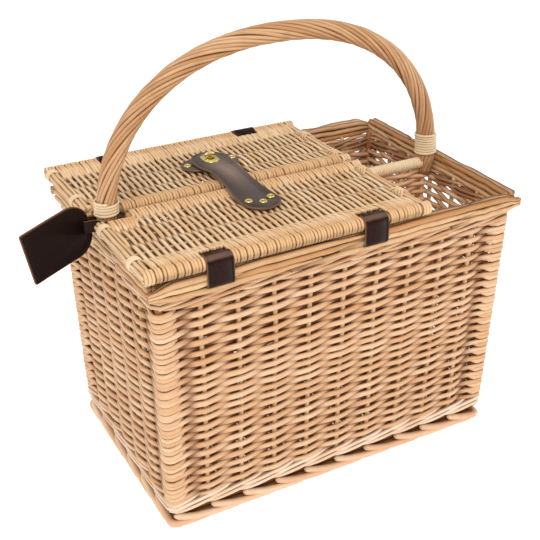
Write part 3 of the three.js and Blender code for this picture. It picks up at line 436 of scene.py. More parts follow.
class RodMesh:
    """One mesh gathered from closed rings carried along paths, all given in millimetres.

    Each swept piece keeps a tint, its own tone on willow and the share of painted highlight on
    leather; an edge share, the cut edge on leather and the share of painted shade on willow; and a UV
    map whose units are metres along and round it. A free end is pushed out by a share of what its
    ring is smaller by; the painted shade on a rod's covered parts starts from a share on its flank
    and gains towards its face.
    """

    END_PUSH = 0.9
    FLANK_SHADE = 0.45
    FACE_GAIN = 1.2
    CONTACT_SHADE_POWER = 6

    def __init__(self) -> None:
        """Starts with no points and no faces."""
        self.points: list[np.ndarray] = []
        self.corners: list[np.ndarray] = []
        self.sizes: list[np.ndarray] = []
        self.maps: list[np.ndarray] = []
        self.tints: list[np.ndarray] = []
        self.edges: list[np.ndarray] = []
        self.count = 0

    def rings(
        self, grid: np.ndarray, tint: np.ndarray | float = 0.5, edge: np.ndarray | float = 0.0,
        loop: bool = False,
    ) -> RodMesh:
        """Skins rows of closed rings, and caps the first and last ring of each row unless it loops.

        Neighbouring rings are joined by quads; the sign of the enclosed volume, a sum of triple
        products, decides which way round the quads go.

        Args:
            grid: points shaped (rows, rings, sides, 3).
            tint: tone of each row on willow and share of painted highlight on leather, one number or
                shaped (rows,), or of each point.
            edge: share of cut edge on leather and of painted shade on willow, broadcast to (rows, rings,
                sides).
            loop: True where the last ring joins the first one.

        Returns:
            This mesh.
        """
        rows, steps, sides, _ = grid.shape
        index = np.arange(rows * steps * sides).reshape(rows, steps, sides)
        low = index if loop else index[:, :-1]
        high = np.roll(index, -1, axis=1) if loop else index[:, 1:]
        quads = np.stack([low, high, np.roll(high, -1, axis=2), np.roll(low, -1, axis=2)], axis=-1)
        middle = grid.mean(axis=2)
        run = np.linalg.norm(np.diff(middle, axis=1, append=middle[:, :1]), axis=-1)
        along = np.concatenate([np.zeros((rows, 1)), np.cumsum(run, axis=1)], axis=1)
        girth = np.linalg.norm(np.roll(grid, -1, axis=2) - grid, axis=-1).sum(axis=2).mean(axis=1)
        around = girth[:, None] * np.arange(sides + 1) / sides
        near, far = along[:, :low.shape[1], None, None], along[:, 1:low.shape[1] + 1, None, None]
        first, second = around[:, None, :-1, None], around[:, None, 1:, None]
        u = np.concatenate([near, far, far, near], axis=-1)
        v = np.concatenate([first, first, second, second], axis=-1)
        quad_map = np.stack(np.broadcast_arrays(u, v), axis=-1)
        flat = grid.reshape(-1, 3)
        a, b, c, d = (flat[quads[..., k]] for k in range(4))
        volume = (a * np.cross(b, c)).sum() + (a * np.cross(c, d)).sum()
        caps = [] if loop else [index[:, 0, :], index[:, -1, ::-1]]
        for cap in caps:
            ring = flat[cap]
            volume += (ring[:, :1] * np.cross(ring[:, 1:-1], ring[:, 2:])).sum()
        if volume < 0.0:
            quads = quads[..., ::-1]
            quad_map = quad_map[..., ::-1, :]
            caps = [cap[:, ::-1] for cap in caps]
        self.points.append(flat * MM)
        self.corners += [self.count + faces.reshape(-1) for faces in (quads, *caps)]
        self.sizes += [np.full(quads.size // 4, 4)] + [np.full(rows, sides) for _ in caps]
        self.maps += [quad_map.reshape(-1, 2) * MM] + [np.zeros((cap.size, 2)) for cap in caps]
        tone = np.asarray(tint, float)
        tone = tone if tone.ndim == 3 else tone.reshape(-1, 1, 1)
        self.tints.append(np.broadcast_to(tone, index.shape).reshape(-1))
        self.edges.append(np.broadcast_to(edge, index.shape).reshape(-1))
        self.count += index.size
        return self

    def sweep(
        self, paths: np.ndarray, radii: np.ndarray | float, tint: np.ndarray | float = 0.5, sides: int = 8,
        guide: np.ndarray = UP, flat: float = 1.0, loop: bool = False, blunt: float = 0.62,
        shade_share: np.ndarray | float = 0.0, contact_shade: float = 0.0, facing: np.ndarray | None = None,
    ) -> RodMesh:
        """Carries a round or flattened ring along each path.

        A ring's point is P + r (cos a B + flat sin a N), where T is the path's direction,
        B = T x guide and N = B x T. Each free end gets a smaller ring, pushed out a little.

        Args:
            paths: centre lines shaped (rods, points, 3).
            radii: radius, broadcast to (rods, points).
            tint: tone of each rod, or of each point shaped (rods, points).
            sides: points in a ring.
            guide: direction that is never along the path, broadcast to the paths.
            flat: height of the ring against its width.
            loop: True where each path is closed.
            blunt: size of the end ring against the rod.
            shade_share: share of painted shade along each rod where others cover it, broadcast to (rods,
                points).
            contact_shade: painted shade on the two sides along N, where a rod lies against its neighbours.
            facing: direction of the side that takes the painted shade along the rod, broadcast to
                (points, 3), None for all round.

        Returns:
            This mesh.
        """
        size = np.broadcast_to(radii, paths.shape[:2]).astype(float)
        shade_strength = np.broadcast_to(shade_share, paths.shape[:2]).astype(float)
        if loop:
            ahead = unit(np.roll(paths, -1, axis=1) - np.roll(paths, 1, axis=1))
        else:
            ahead = with_ends(unit(np.gradient(paths, axis=1)))
            size = with_ends(size)
            paths = with_ends(paths)
            push = (1.0 - blunt) * self.END_PUSH * size[..., None] * ahead
            paths[:, 0] -= push[:, 0]
            paths[:, -1] += push[:, -1]
            size[:, [0, -1]] *= blunt
            shade_strength = with_ends(shade_strength)
            guide = with_ends(guide) if np.ndim(guide) == 3 else guide
            facing = with_ends(facing, 0) if np.ndim(facing) == 2 else facing
            tint = with_ends(tint)[..., None] if np.ndim(tint) == 2 else tint
        across = unit(np.cross(ahead, guide))[:, :, None]
        over = np.cross(across, ahead[:, :, None])
        angle = hoop(sides)[:, None]
        ring = across * np.cos(angle) + flat * over * np.sin(angle)
        # Painted shade share: the covered share gained towards the facing side, and a band on each flank
        # where rods lie together.
        front = 1.0
        if facing is not None:
            toward = np.einsum("rpsk,pk->rps", ring, np.broadcast_to(facing, paths.shape[1:]))
            front = np.clip(self.FLANK_SHADE + self.FACE_GAIN * toward, 0.0, 1.0)
        side = contact_shade * np.abs(np.sin(angle[:, 0])) ** self.CONTACT_SHADE_POWER
        painted_shade = np.clip(shade_strength[..., None] * front + side, 0.0, 1.0)
        return self.rings(paths[:, :, None] + size[:, :, None, None] * ring, tint, painted_shade, loop=loop)

    def build(self, name: str, finish: Finish, body: Body | None, *nodes: str) -> bpy.types.Object:
        """Makes the object, dresses it, rides it on its body and lets it stand for its solids.

        Args:
            name: the object's name.
            finish: finish to give it.
            body: body that carries it, or None for a piece that is blended between two.
            nodes: solids that it stands for.

        Returns:
            The finished object.
        """
        mesh = bpy.data.meshes.new(name)
        places = np.concatenate(self.points)
        corners = np.concatenate(self.corners)
        sizes = np.concatenate(self.sizes)
        mesh.vertices.add(len(places))
        mesh.vertices.foreach_set("co", places.ravel())
        mesh.loops.add(len(corners))
        mesh.loops.foreach_set("vertex_index", corners.astype(np.int32))
        mesh.polygons.add(len(sizes))
        mesh.polygons.foreach_set("loop_start", (np.cumsum(sizes) - sizes).astype(np.int32))
        mesh.polygons.foreach_set("use_smooth", np.ones(len(sizes), bool))
        mesh.update(calc_edges=True)
        mesh.uv_layers.new(name="rod").data.foreach_set("uv", np.concatenate(self.maps).ravel())
        # The tint layer holds the tone on willow and the painted highlight share on leather; the edge layer
        # holds the cut edge share on leather and the painted shade share on willow.
        for key, values in (("tint", self.tints), ("edge", self.edges)):
            layer = mesh.attributes.new(key, "FLOAT", "POINT")
            layer.data.foreach_set("value", np.concatenate(values).astype(np.float32))
        mesh.validate()
        piece = link(bpy.data.objects.new(name, mesh))
        dress(piece, finish)
        if body:
            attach(piece, body.value)
        if nodes:
            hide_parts(*nodes)
        LOG.info("%s: %d faces on %s", name, len(sizes), body.value if body else "two bodies")
        return piece

    def cut(self, piece: bpy.types.Object) -> None:
        """Takes this closed shape out of a piece with a Boolean modifier and keeps the result as its mesh.

        Args:
            piece: object to cut.
        """
        tool = bpy.data.meshes.new("slot_tool")
        corners = np.split(np.concatenate(self.corners), np.cumsum(np.concatenate(self.sizes))[:-1])
        tool.from_pydata(np.concatenate(self.points), [], [face.tolist() for face in corners])
        shape = link(bpy.data.objects.new("slot_tool", tool))
        modifier = piece.modifiers.new("slot", "BOOLEAN")
        modifier.object = shape
        modifier.solver = "EXACT"
        whole = piece.data
        graph = bpy.context.evaluated_depsgraph_get()
        piece.data = bpy.data.meshes.new_from_object(piece.evaluated_get(graph))
        piece.data.name = whole.name
        piece.modifiers.clear()
        bpy.data.meshes.remove(whole)
        bpy.data.objects.remove(shape)


@dataclass(frozen=True)
class Levels:
    """Heights, insets and places that several pieces share, in millimetres."""

    wall_bottom: float = 20.3
    wall_top: float = 299.3
    rim_bottom: float = 299.6
    rim_top: float = 321.0
    lid: float = 329.9
    panel_top: float = 336.4
    seat: float = 336.7
    bow_foot: float = 321.3
    post_radius: float = 10.0
    centre_inset: float = 7.4
    stake_pitch: float = 43.5
    hinge_y: float = 149.5
    loop_x: tuple[float, ...] = (-156.0, 27.0)


LEVELS = Levels()


@dataclass(frozen=True)
class WallPlan:
    """Plan of one wall, seen from outside with its run to the right, and of the rim above it."""

    name: str
    post: str
    along: tuple[float, float]
    out: tuple[float, float]
    half_run: float
    run_lean: float
    half_reach: float
    reach_lean: float
    stakes: int
    phase: float
    dip: float
    seed: int
    rim_half: float
    rim_outer: float
    rim_tip: float

    @property
    def spaces(self) -> int:
        """Spaces between stakes, from one corner post to the other."""
        return self.stakes + 1

    def place(self, step: np.ndarray, depth: np.ndarray | float, z: np.ndarray) -> np.ndarray:
        """Points at stake steps, depths in front of the wall's middle plane, and heights.

        Between the posts the step runs straight along the wall. Beyond a post it turns a quarter
        circle round the post's centre and goes on along the next wall.

        Args:
            step: stake steps, 0 and spaces at the posts.
            depth: distance in front of the middle plane.
            z: heights.

        Returns:
            Points in millimetres, with a last axis of 3.
        """
        shrink = (LEVELS.wall_top - z) / (LEVELS.wall_top - LEVELS.wall_bottom)
        run = self.half_run - self.run_lean * shrink - LEVELS.post_radius
        reach = self.half_reach - self.reach_lean * shrink - LEVELS.post_radius
        radius = LEVELS.post_radius - LEVELS.centre_inset
        inside = np.clip(step, 0.0, self.spaces)
        length = np.abs(step - inside) * LEVELS.stake_pitch
        angle = np.sign(step - inside) * np.clip(length / radius, 0.0, TURN / 4.0)
        straight = np.maximum(length - radius * TURN / 4.0, 0.0)
        right = (2.0 * inside / self.spaces - 1.0) * run + (radius + depth) * np.sin(angle)
        return self.straight(right, reach + (radius + depth) * np.cos(angle) - straight, z)

    def straight(self, run: np.ndarray, reach: np.ndarray, z: np.ndarray) -> np.ndarray:
        """Points at a run along the wall, a reach out from the hamper's middle, and a height.

        Args:
            run: distance to the right of the wall's middle.
            reach: distance out from the hamper's middle.
            z: heights.

        Returns:
            Points in millimetres, with a last axis of 3.
        """
        x, y = (run * self.along[k] + reach * self.out[k] for k in range(2))
        return points(x, y, z)

    def normal(self) -> np.ndarray:
        """Direction out of the wall."""
        return np.array([*self.out, 0.0])


LONG_WALL = (225.5, 6.0, 147.0, 8.5, 9)
SHORT_WALL = (147.0, 8.5, 225.5, 6.0, 5)
LONG_RIM = (230.5, 156.5, 30.0)
SHORT_RIM = (141.8, 230.0, 0.0)
PLANS = (
    WallPlan("front", "front_left", (1.0, 0.0), (0.0, -1.0), *LONG_WALL, 0.0, 2.6, 11, *LONG_RIM),
    WallPlan("right", "front_right", (0.0, 1.0), (1.0, 0.0), *SHORT_WALL, 0.6875, -3.9, 12, *SHORT_RIM),
    WallPlan("rear", "rear_right", (-1.0, 0.0), (0.0, 1.0), *LONG_WALL, 0.5, -3.9, 13, *LONG_RIM),
    WallPlan("left", "rear_left", (0.0, -1.0), (-1.0, 0.0), *SHORT_WALL, 0.1875, 2.6, 14, *SHORT_RIM),
)


@dataclass
class WallWeave:
    """Randed wall: rods that climb a little to the right, with waled rows at its foot and top."""

    plan: WallPlan
    pitch: float = 11.4
    climb: float = 0.21875
    spread: float = 0.11
    spread_turns: float = 1.6
    spread_middle: float = 0.2
    sway: float = 4.4
    zigzag: float = 0.96
    rod: float = 2.3
    tall: float = 1.5
    thinning: float = 0.12
    shade_strength: float = 0.88
    contact_shade: float = 0.45
    stake: float = 2.8
    stake_bend: float = 0.035
    post_reach: float = 0.4
    near_drop: float = 0.8
    far_drop: float = 2.0
    wrap: float = 0.46
    wait: float = 0.45
    low: float = 36.4
    high: float = 287.0
    overrun: float = 4.0
    shortest: float = 0.9
    level_from: float = 215.0
    level_to: float = 262.0
    wale_low: tuple[float, ...] = (24.2, 30.2)
    wale_high: tuple[float, ...] = (289.5, 295.6)
    wale_rod: float = 2.35
    wale_out: float = 0.9
    wale_climb: float = 2.7
    wale_shade_strength: float = 0.6
    wale_contact_shade: float = 0.75
    points_per_space: int = 13

    def __post_init__(self) -> None:
        """Seeds the wall's random source."""
        self.rng = np.random.default_rng(self.plan.seed)

    def settled(self, z: np.ndarray) -> np.ndarray:
        """Heights with the rows spread apart low down and beaten closer at mid height.

        With u the share of the woven height, the stretch is 1 + spread cos(turns (u - middle)),
        summed up from the foot and scaled so that both ends stay where they are.

        Args:
            z: even heights.

        Returns:
            Heights after beating.
        """
        share = (z - self.low) / (self.high - self.low)
        rate = self.spread_turns * TURN
        foot = math.sin(self.spread_middle * rate)
        full = 1.0 + self.spread * (math.sin((1.0 - self.spread_middle) * rate) + foot) / rate
        moved = share + self.spread * (np.sin(rate * (share - self.spread_middle)) + foot) / rate
        return self.low + (self.high - self.low) * moved / full

    def held(self, step: np.ndarray, waits: np.ndarray) -> np.ndarray:
        """Steps from a post, held back in the first space where a weaver waits behind the post.

        Args:
            step: steps from the post.
            waits: True for each weaver that waits.

        Returns:
            Steps that the weaver's beat follows.
        """
        drawn = np.clip((step - self.wait) / (1.0 - self.wait), 0.0, 1.0)
        return np.where(waits & (step < 1.0), drawn, step)

    def strands(self) -> RodMesh:
        """Weavers that sway in front of every second stake.

        Height is z0 + pitch (j / 2 + climb s), less the dip behind a stake, for weaver j at stake
        step s. Depth is the sway times a rounded zigzag, asin(q cos(pi (j + s))) / asin(q).
        One in front of a post goes round it and turns in behind it; one behind a post waits there
        until those turns are past.

        Returns:
            The weavers.
        """
        rng = self.rng
        half = self.pitch / 2.0
        slope = self.climb * self.pitch
        start = self.low + self.plan.phase * self.pitch
        spaces = self.plan.spaces
        fewest = -int((start - self.low + slope * spaces) / half) - 1
        order = np.arange(fewest, int((self.high - start) / half) + 1)[:, None]
        level = start + half * order
        early = order % 2 == 0
        late = (order + spaces) % 2 == 0
        first = np.where(early, -self.wrap, 0.0)
        first = np.maximum(first, (self.low - self.overrun - level) / slope)
        last = np.where(late, spaces + self.wrap, spaces)
        last = np.minimum(last, (self.high + self.overrun - level) / slope)
        keep = (last - first)[:, 0] > self.shortest
        order, level, early, late, first, last = (x[keep] for x in (order, level, early, late, first, last))
        rows = len(order)
        turn = np.concatenate([np.linspace(-self.wrap, -0.13, 8), np.linspace(-0.1, 0.0, 7)])
        middle = np.linspace(0.05, spaces - 0.05, self.points_per_space * spaces)
        share = np.concatenate([turn, middle, spaces - turn[::-1]])
        share = (share + self.wrap) / (spaces + 2.0 * self.wrap)
        step = first + (last - first) * share
        inside = np.clip(step, 0.0, spaces)
        ahead = spaces - self.held(spaces - self.held(inside, ~early), ~late)
        beat = np.arcsin(self.zigzag * np.cos(math.pi * (order + ahead))) / math.asin(self.zigzag)
        beat = beat * (1.0 - 1.5 * eased(self.wrap - 0.2, self.wrap, np.abs(step - inside)))
        near, far = (np.exp(-((step - post) / self.post_reach) ** 2) for post in (0.0, spaces))
        z = self.settled(level + slope * step)
        dip = self.plan.dip
        if dip < 0.0:
            dip = dip * (1.0 - 1.2 * eased(self.level_from, self.level_to, z))
        z = z - self.near_drop * near - self.far_drop * far - dip * (1.0 - beat) / 2.0
        z = z + waver(rng, rows, step / 7.0, 0.7) + waver(rng, rows, step / 2.3, 0.3)
        depth = self.sway * rng.uniform(0.95, 1.05, (rows, 1)) * beat + waver(rng, rows, step / 1.9, 0.3)
        radius = self.rod * rng.uniform(0.92, 1.05, (rows, 1)) * (1.05 - self.thinning * share)
        radius = radius * (1.0 - 0.1 * (near + far))
        # Painted shade on the outward side of the weavers where they pass behind the stakes, and on their
        # flanks where rows lie together.
        return RodMesh().sweep(
            self.plan.place(step, depth, z), radius, rng.beta(2.0, 2.0, rows), flat=self.tall,
            shade_share=self.shade_strength * (1.0 - eased(-3.2, 2.0, depth)), contact_shade=self.contact_shade, facing=self.plan.normal(),
        )

    def waling(self, heights: tuple[float, ...]) -> RodMesh:
        """Waled rows: three rods that each pass before two stakes and behind one, like a rope.

        With p the place in a three-stake beat, depth follows tanh of a raised cosine and height
        a sine, so each rod climbs while it is in front.

        Args:
            heights: middle height of each row.

        Returns:
            The rods.
        """
        step = np.linspace(-0.11, self.plan.spaces + 0.11, 10 * self.plan.spaces)
        lag = np.tile(np.arange(3.0) / 3.0, len(heights))[:, None]
        level = np.repeat(np.array(heights), 3)[:, None]
        beat = TURN * (step / 3.0 + lag + level / 17.0)
        depth = (self.sway + self.wale_out) * np.tanh(1.5 * np.cos(beat) + 0.55)
        z = level + self.wale_climb * np.sin(beat) + waver(self.rng, len(level), step / 5.0, 0.4)
        # Painted shade where a waling rod passes behind the stakes, and on its flanks where rods lie
        # together.
        return RodMesh().sweep(
            self.plan.place(step, depth, z), self.wale_rod, self.rng.beta(1.4, 1.4, len(level)),
            shade_share=self.wale_shade_strength * (1.0 - eased(-4.0, 2.0, depth)), contact_shade=self.wale_contact_shade,
        )

    def uprights(self) -> RodMesh:
        """Stakes: upright rods in the wall's middle plane.

        Returns:
            The stakes.
        """
        step = np.arange(1.0, self.plan.spaces)[:, None]
        z = np.linspace(LEVELS.wall_bottom, LEVELS.rim_bottom + 3.0, 30)[None]
        bend = waver(self.rng, len(step), z / 300.0, self.stake_bend)
        return RodMesh().sweep(
            self.plan.place(step + bend, 0.0, z), self.stake, self.rng.beta(2.0, 2.0, len(step)),
            guide=self.plan.normal(),
        )

    def build(self) -> None:
        """Builds the wall's weave, its waling and its stakes."""
        wall = f"{self.plan.name}_wall"
        self.strands().build(f"{wall}_weave", WEAVE_WILLOW, Body.BASKET, wall)
        self.waling(self.wale_low).build(f"{wall}_foot_waling", WALE_WILLOW, Body.BASKET)
        self.waling(self.wale_high).build(f"{wall}_top_waling", WEAVE_WILLOW, Body.BASKET)
        self.uprights().build(f"{wall}_stakes", UPRIGHT_WILLOW, Body.BASKET)


@dataclass
class CornerPosts:
    """Stout stakes inside the wrapped corners."""

    radius: float = 4.7

    def build(self) -> None:
        """Builds the four posts, each at the turning point of the wall that starts there."""
        z = np.linspace(LEVELS.wall_bottom, LEVELS.rim_bottom + 4.0, 24)[None]
        inset = LEVELS.centre_inset - LEVELS.post_radius
        for plan in PLANS:
            path = plan.place(np.zeros_like(z), inset, z)
            post = f"corner_post_{plan.post}"
            mesh = RodMesh().sweep(path, self.radius, 0.4, guide=plan.normal() + 0.3)
            mesh.build(f"{post}_rod", STAKE_WILLOW, Body.BASKET, post)


@dataclass
class FootBorder:
    """Stake ends turned to the right under the waling and laid along the ground as a rope."""

    plan: WallPlan
    rod: float = 4.1
    face: float = 8.0
    reach: float = 2.3
    tuck_from: float = 1.7
    tuck: float = 6.5
    low: float = 3.4
    fall: float = 10.2
    fall_run: float = 0.62
    shy: float = 2.4
    head_run: float = 0.1
    shade_strength: float = 0.6
    fill_rod: float = 4.0
    fill_depth: tuple[float, float] = (-2.2, -5.0)
    fill_level: tuple[float, float] = (4.6, 13.0)

    def build(self) -> None:
        """Builds the foot rods of one wall.

        A rod that starts under the waling runs t stake steps to the right; its height falls as an
        exponential of t, and its depth swells out to the wall's face and then tucks in under the
        next rods, where it takes painted shade. Its head is a quarter circle in t. Two fillers close the
        border from behind, painted wholly in the shade colour.
        """
        rng = np.random.default_rng(self.plan.seed + 20)
        spaces = self.plan.spaces
        rows = spaces + 1
        start = np.arange(-1.0, spaces)[:, None] + rng.uniform(-0.05, 0.05, (rows, 1))
        t = np.concatenate([[0.0, 0.008, 0.022, 0.045, 0.075], np.linspace(0.11, self.reach, 38)])[None]
        thick = self.rod * (1.03 - 0.14 * t) * rng.uniform(0.95, 1.04, (rows, 1))
        z = self.low + self.fall * np.exp(-(t / self.fall_run) ** 1.5) + waver(rng, rows, t / 2.0, 0.3)
        tucked = eased(self.tuck_from, self.reach, t)
        depth = self.face - thick - self.shy * (1.0 - eased(0.0, 0.3, t)) + waver(rng, rows, t, 0.25)
        head = np.sqrt(np.maximum(1.0 - (1.0 - np.minimum(t / self.head_run, 1.0)) ** 2, 0.06))
        mesh = RodMesh().sweep(
            self.plan.place(start + t, depth - self.tuck * tucked, np.maximum(z, thick)), thick * head,
            rng.beta(2.0, 2.0, rows), sides=12, shade_share=self.shade_strength * tucked, contact_shade=0.3,
        )
        fill = np.linspace(-0.1, spaces + 0.1, 60)[None]
        depth, level = (np.array(pair)[:, None] for pair in (self.fill_depth, self.fill_level))
        # The fillers are painted wholly in the shade colour.
        mesh.sweep(self.plan.place(fill, depth, level), self.fill_rod, 0.9, shade_share=1.0)
        mesh.build(f"{self.plan.name}_foot_rods", FOOT_WILLOW, Body.BASKET, f"foot_border_{self.plan.name}")


@dataclass
class RimBorder:
    """Stake tops laid along the rim in three rows and two columns, one rod's end over the next."""

    plan: WallPlan
    rod: float = 3.6
    pitch: float = 7.0
    rows: int = 3
    columns: int = 2
    shortest: float = 130.0
    longest: float = 230.0
    first_cut: tuple[float, float] = (20.0, 160.0)
    clear: float = 45.0
    lap: float = 34.0
    start_low: float = 1.2
    climb: float = 2.6
    bottom_tuck: tuple[float, float] = (4.6, 3.4)
    upper_tuck: tuple[float, float] = (2.6, 1.6)
    taper: float = 0.6
    shade_strength: float = 0.6
    contact_shade: float = 0.95
    tip_size: float = 0.45
    tip_drop: float = 2.5

    def ends(self, rng: np.random.Generator) -> tuple[np.ndarray, np.ndarray, np.ndarray]:
        """Splits every row and column into rods of random length.

        Args:
            rng: seeded random source.

        Returns:
            Starts, ends and bundle places (row, column), one line for each rod.
        """
        half = self.plan.rim_half
        starts, stops, places = [], [], []
        for place in np.ndindex(self.rows, self.columns):
            cuts = np.cumsum(rng.uniform(self.shortest, self.longest, 8)) - rng.uniform(*self.first_cut)
            cuts = cuts[(cuts > self.clear) & (cuts < 2.0 * half - self.clear)] - half
            starts.append(np.concatenate([[-half], cuts]))
            stops.append(np.concatenate([cuts + self.lap, [half]]))
            places.append(np.tile(place, (len(cuts) + 1, 1)))
        return np.concatenate(starts)[:, None], np.concatenate(stops)[:, None], np.concatenate(places)

    def build(self) -> None:
        """Builds the rim rods of one wall.

        A rod starts tucked in and low, comes out to its row's face over its first quarter, climbs
        a little and thins out over the start of the next rod. Within the tip's length of the
        rail's end the whole bundle is drawn together about its middle.
        """
        rng = np.random.default_rng(self.plan.seed + 30)
        half, outer, tip = self.plan.rim_half, self.plan.rim_outer, self.plan.rim_tip
        start, stop, place = self.ends(rng)
        share = np.linspace(0.0, 1.0, 30)[None]
        run = start + (stop - start) * share
        count = len(start)
        row, column = place[:, :1], place[:, 1:]
        tuck = np.where(start > -half + 1.0, 1.0 - eased(0.0, 0.28, share), 0.0)
        inwards, down = (np.where(row == 0, *pair) for pair in zip(self.bottom_tuck, self.upper_tuck))
        z = LEVELS.rim_bottom + self.rod + row * self.pitch - self.start_low + self.climb * share
        z = z - down * tuck + waver(rng, count, share * 1.8, 0.8)
        deep = inwards * np.where(column == 0, 1.0, -0.7)
        reach = outer - self.rod - column * self.pitch - deep * tuck + waver(rng, count, share * 1.2, 0.5)
        drawn = 1.0 - eased(0.0, tip, half - np.abs(run)) if tip else 0.0
        scale = 1.0 - (1.0 - self.tip_size) * drawn
        middle = outer - self.rod - (self.columns - 1) * self.pitch / 2.0
        centre = LEVELS.rim_bottom + self.rod + (self.rows - 1) * self.pitch / 2.0
        reach = middle + (reach - middle) * scale
        z = np.minimum(z, LEVELS.rim_top - self.rod * 0.9)
        z = centre + (z - centre) * scale - self.tip_drop * drawn
        taper = 1.0 - np.where(stop < half - 1.0, self.taper, 0.0) * eased(0.7, 1.0, share)
        radius = self.rod * (1.06 - 0.1 * share) * rng.uniform(0.9, 1.06, (count, 1)) * scale * taper
        # Painted shade where a rod is tucked in, and on its flanks where rods lie together.
        mesh = RodMesh().sweep(
            self.plan.straight(run, reach, z), radius, rng.beta(1.1, 1.3, count), sides=12, blunt=0.8,
            shade_share=self.shade_strength * tuck, contact_shade=self.contact_shade,
        )
        mesh.build(f"{self.plan.name}_rim_rods", BORDER_WILLOW, Body.BASKET, f"rim_border_{self.plan.name}")


@dataclass
class BasePanel:
    """Woven base: sticks along the hamper with close weavers across them."""

    half_length: float = 206.0
    half_width: float = 125.0
    level: float = 7.0
    sway: float = 2.0
    sticks: int = 7
    stick: float = 3.6
    weaver: float = 2.95

    def build(self) -> None:
        """Builds the base; a weaver's height is a cosine over the sticks, turned over each row."""
        rng = np.random.default_rng(50)
        pitch = 2.0 * self.half_width / self.sticks
        y = np.linspace(-self.half_width, self.half_width, 12 * self.sticks)[None]
        x = np.arange(-self.half_length, self.half_length, 1.82 * self.weaver)[:, None]
        rows = len(x)
        z = self.level + self.sway * np.cos(math.pi * (y / pitch + np.arange(rows)[:, None]))
        path = points(x + waver(rng, rows, y / 180.0, 0.6), y, z)
        mesh = RodMesh().sweep(path, self.weaver, rng.beta(2.0, 2.0, rows), sides=6)
        x = np.linspace(-self.half_length, self.half_length, 40)[None]
        y = (np.arange(self.sticks + 1)[:, None] - self.sticks / 2.0) * pitch
        y = np.clip(y, -self.half_width + 4.0, self.half_width - 4.0)
        mesh.sweep(points(x, y, self.level), self.stick, 0.9)
        mesh.build("base_weave", WEAVE_WILLOW, Body.BASKET, "base_panel")


@dataclass
class Partitions:
    """Cross partition under the lids' right ends, and the short divider with its cane-wrapped top."""

    cross_x: float = 93.5
    cross_half: float = 133.0
    cross_low: float = 1.2
    divider_start: float = 101.5
    divider_end: float = 208.0
    divider_low: float = 3.0
    foot: float = 15.0
    lowest_rod: float = 18.0
    roll: float = 7.4
    weaver: float = 2.7
    sway: float = 3.6
    upright: float = 3.2
    upright_pitch: float = 34.0
    lean: float = 10.0
    cane: float = 1.7

    def panel(self, name: str, start: np.ndarray, end: np.ndarray, top: float, wrap: Willow) -> None:
        """Builds one partition: rods across its uprights, and a wrapped roll along its top.

        A rod's depth is a cosine over the uprights, turned over each row. The wrap is a helix
        whose turns lie a cane's width apart.

        Args:
            name: the solid that it stands for.
            start: middle of one end, in plan.
            end: middle of the other end, in plan.
            top: highest point of the roll.
            wrap: finish of the roll's wrap.
        """
        rng = np.random.default_rng(60 + len(name))
        length = float(np.linalg.norm(end - start))
        along = (end - start) / length
        out = np.array([along[1], -along[0]])
        uprights = max(round(length / self.upright_pitch), 3)
        share = np.linspace(0.0, 1.0, 10 * uprights)[None]
        z = np.arange(self.lowest_rod, top - 2.0 * self.roll - 1.0, 2.0 * self.weaver)[:, None]
        rows = len(z)
        fall = (LEVELS.wall_top - np.minimum(z, LEVELS.wall_top)) / (LEVELS.wall_top - LEVELS.wall_bottom)
        run = (share - 0.5) * (1.0 - self.lean * fall / length) + 0.5
        depth = self.sway * np.cos(math.pi * (share * uprights + np.arange(rows)[:, None]))
        flat = start + run[..., None] * length * along + depth[..., None] * out
        path = lifted(flat, z + waver(rng, rows, share * 2.0, 0.5))
        mesh = RodMesh().sweep(path, self.weaver, rng.beta(2.0, 2.0, rows), sides=6)
        post = start + np.linspace(0.03, 0.97, uprights + 1)[:, None, None] * length * along
        post_path = lifted(post, np.linspace(self.foot, top - self.roll, 16))
        mesh.sweep(post_path, self.upright, 0.8, sides=6, guide=np.array([*out, 0.0]))
        mesh.build(f"{name}_weave", WEAVE_WILLOW, Body.BASKET, name)
        turns = length / (1.9 * self.cane)
        share = np.linspace(0.0, 1.0, int(turns * 14))[:, None]
        angle = TURN * turns * share
        radius = self.roll - self.cane
        centre = top - self.roll
        flat = start + share * length * along + radius * np.cos(angle) * out
        path = lifted(flat, centre + radius * np.sin(angle[:, 0]))
        coil = RodMesh().sweep(path[None], self.cane, 0.4, sides=6, guide=np.array([*along, 0.0]))
        core = lifted(start + np.linspace(0.0, 1.0, 12)[:, None] * length * along, centre)
        coil.sweep(core[None], radius, 0.8).build(f"{name}_wrapped_top", wrap, Body.BASKET)

    def build(self) -> None:
        """Builds the cross partition and the divider."""
        low, high = np.array([[self.cross_x, -self.cross_half], [self.cross_x, self.cross_half]])
        self.panel("cross_partition", low, high, LEVELS.rim_top - self.cross_low, LID_WILLOW)
        low, high = np.array([[self.divider_start, 0.0], [self.divider_end, 0.0]])
        self.panel("bay_divider", low, high, LEVELS.rim_top - self.divider_low, SPLIT_CANE)


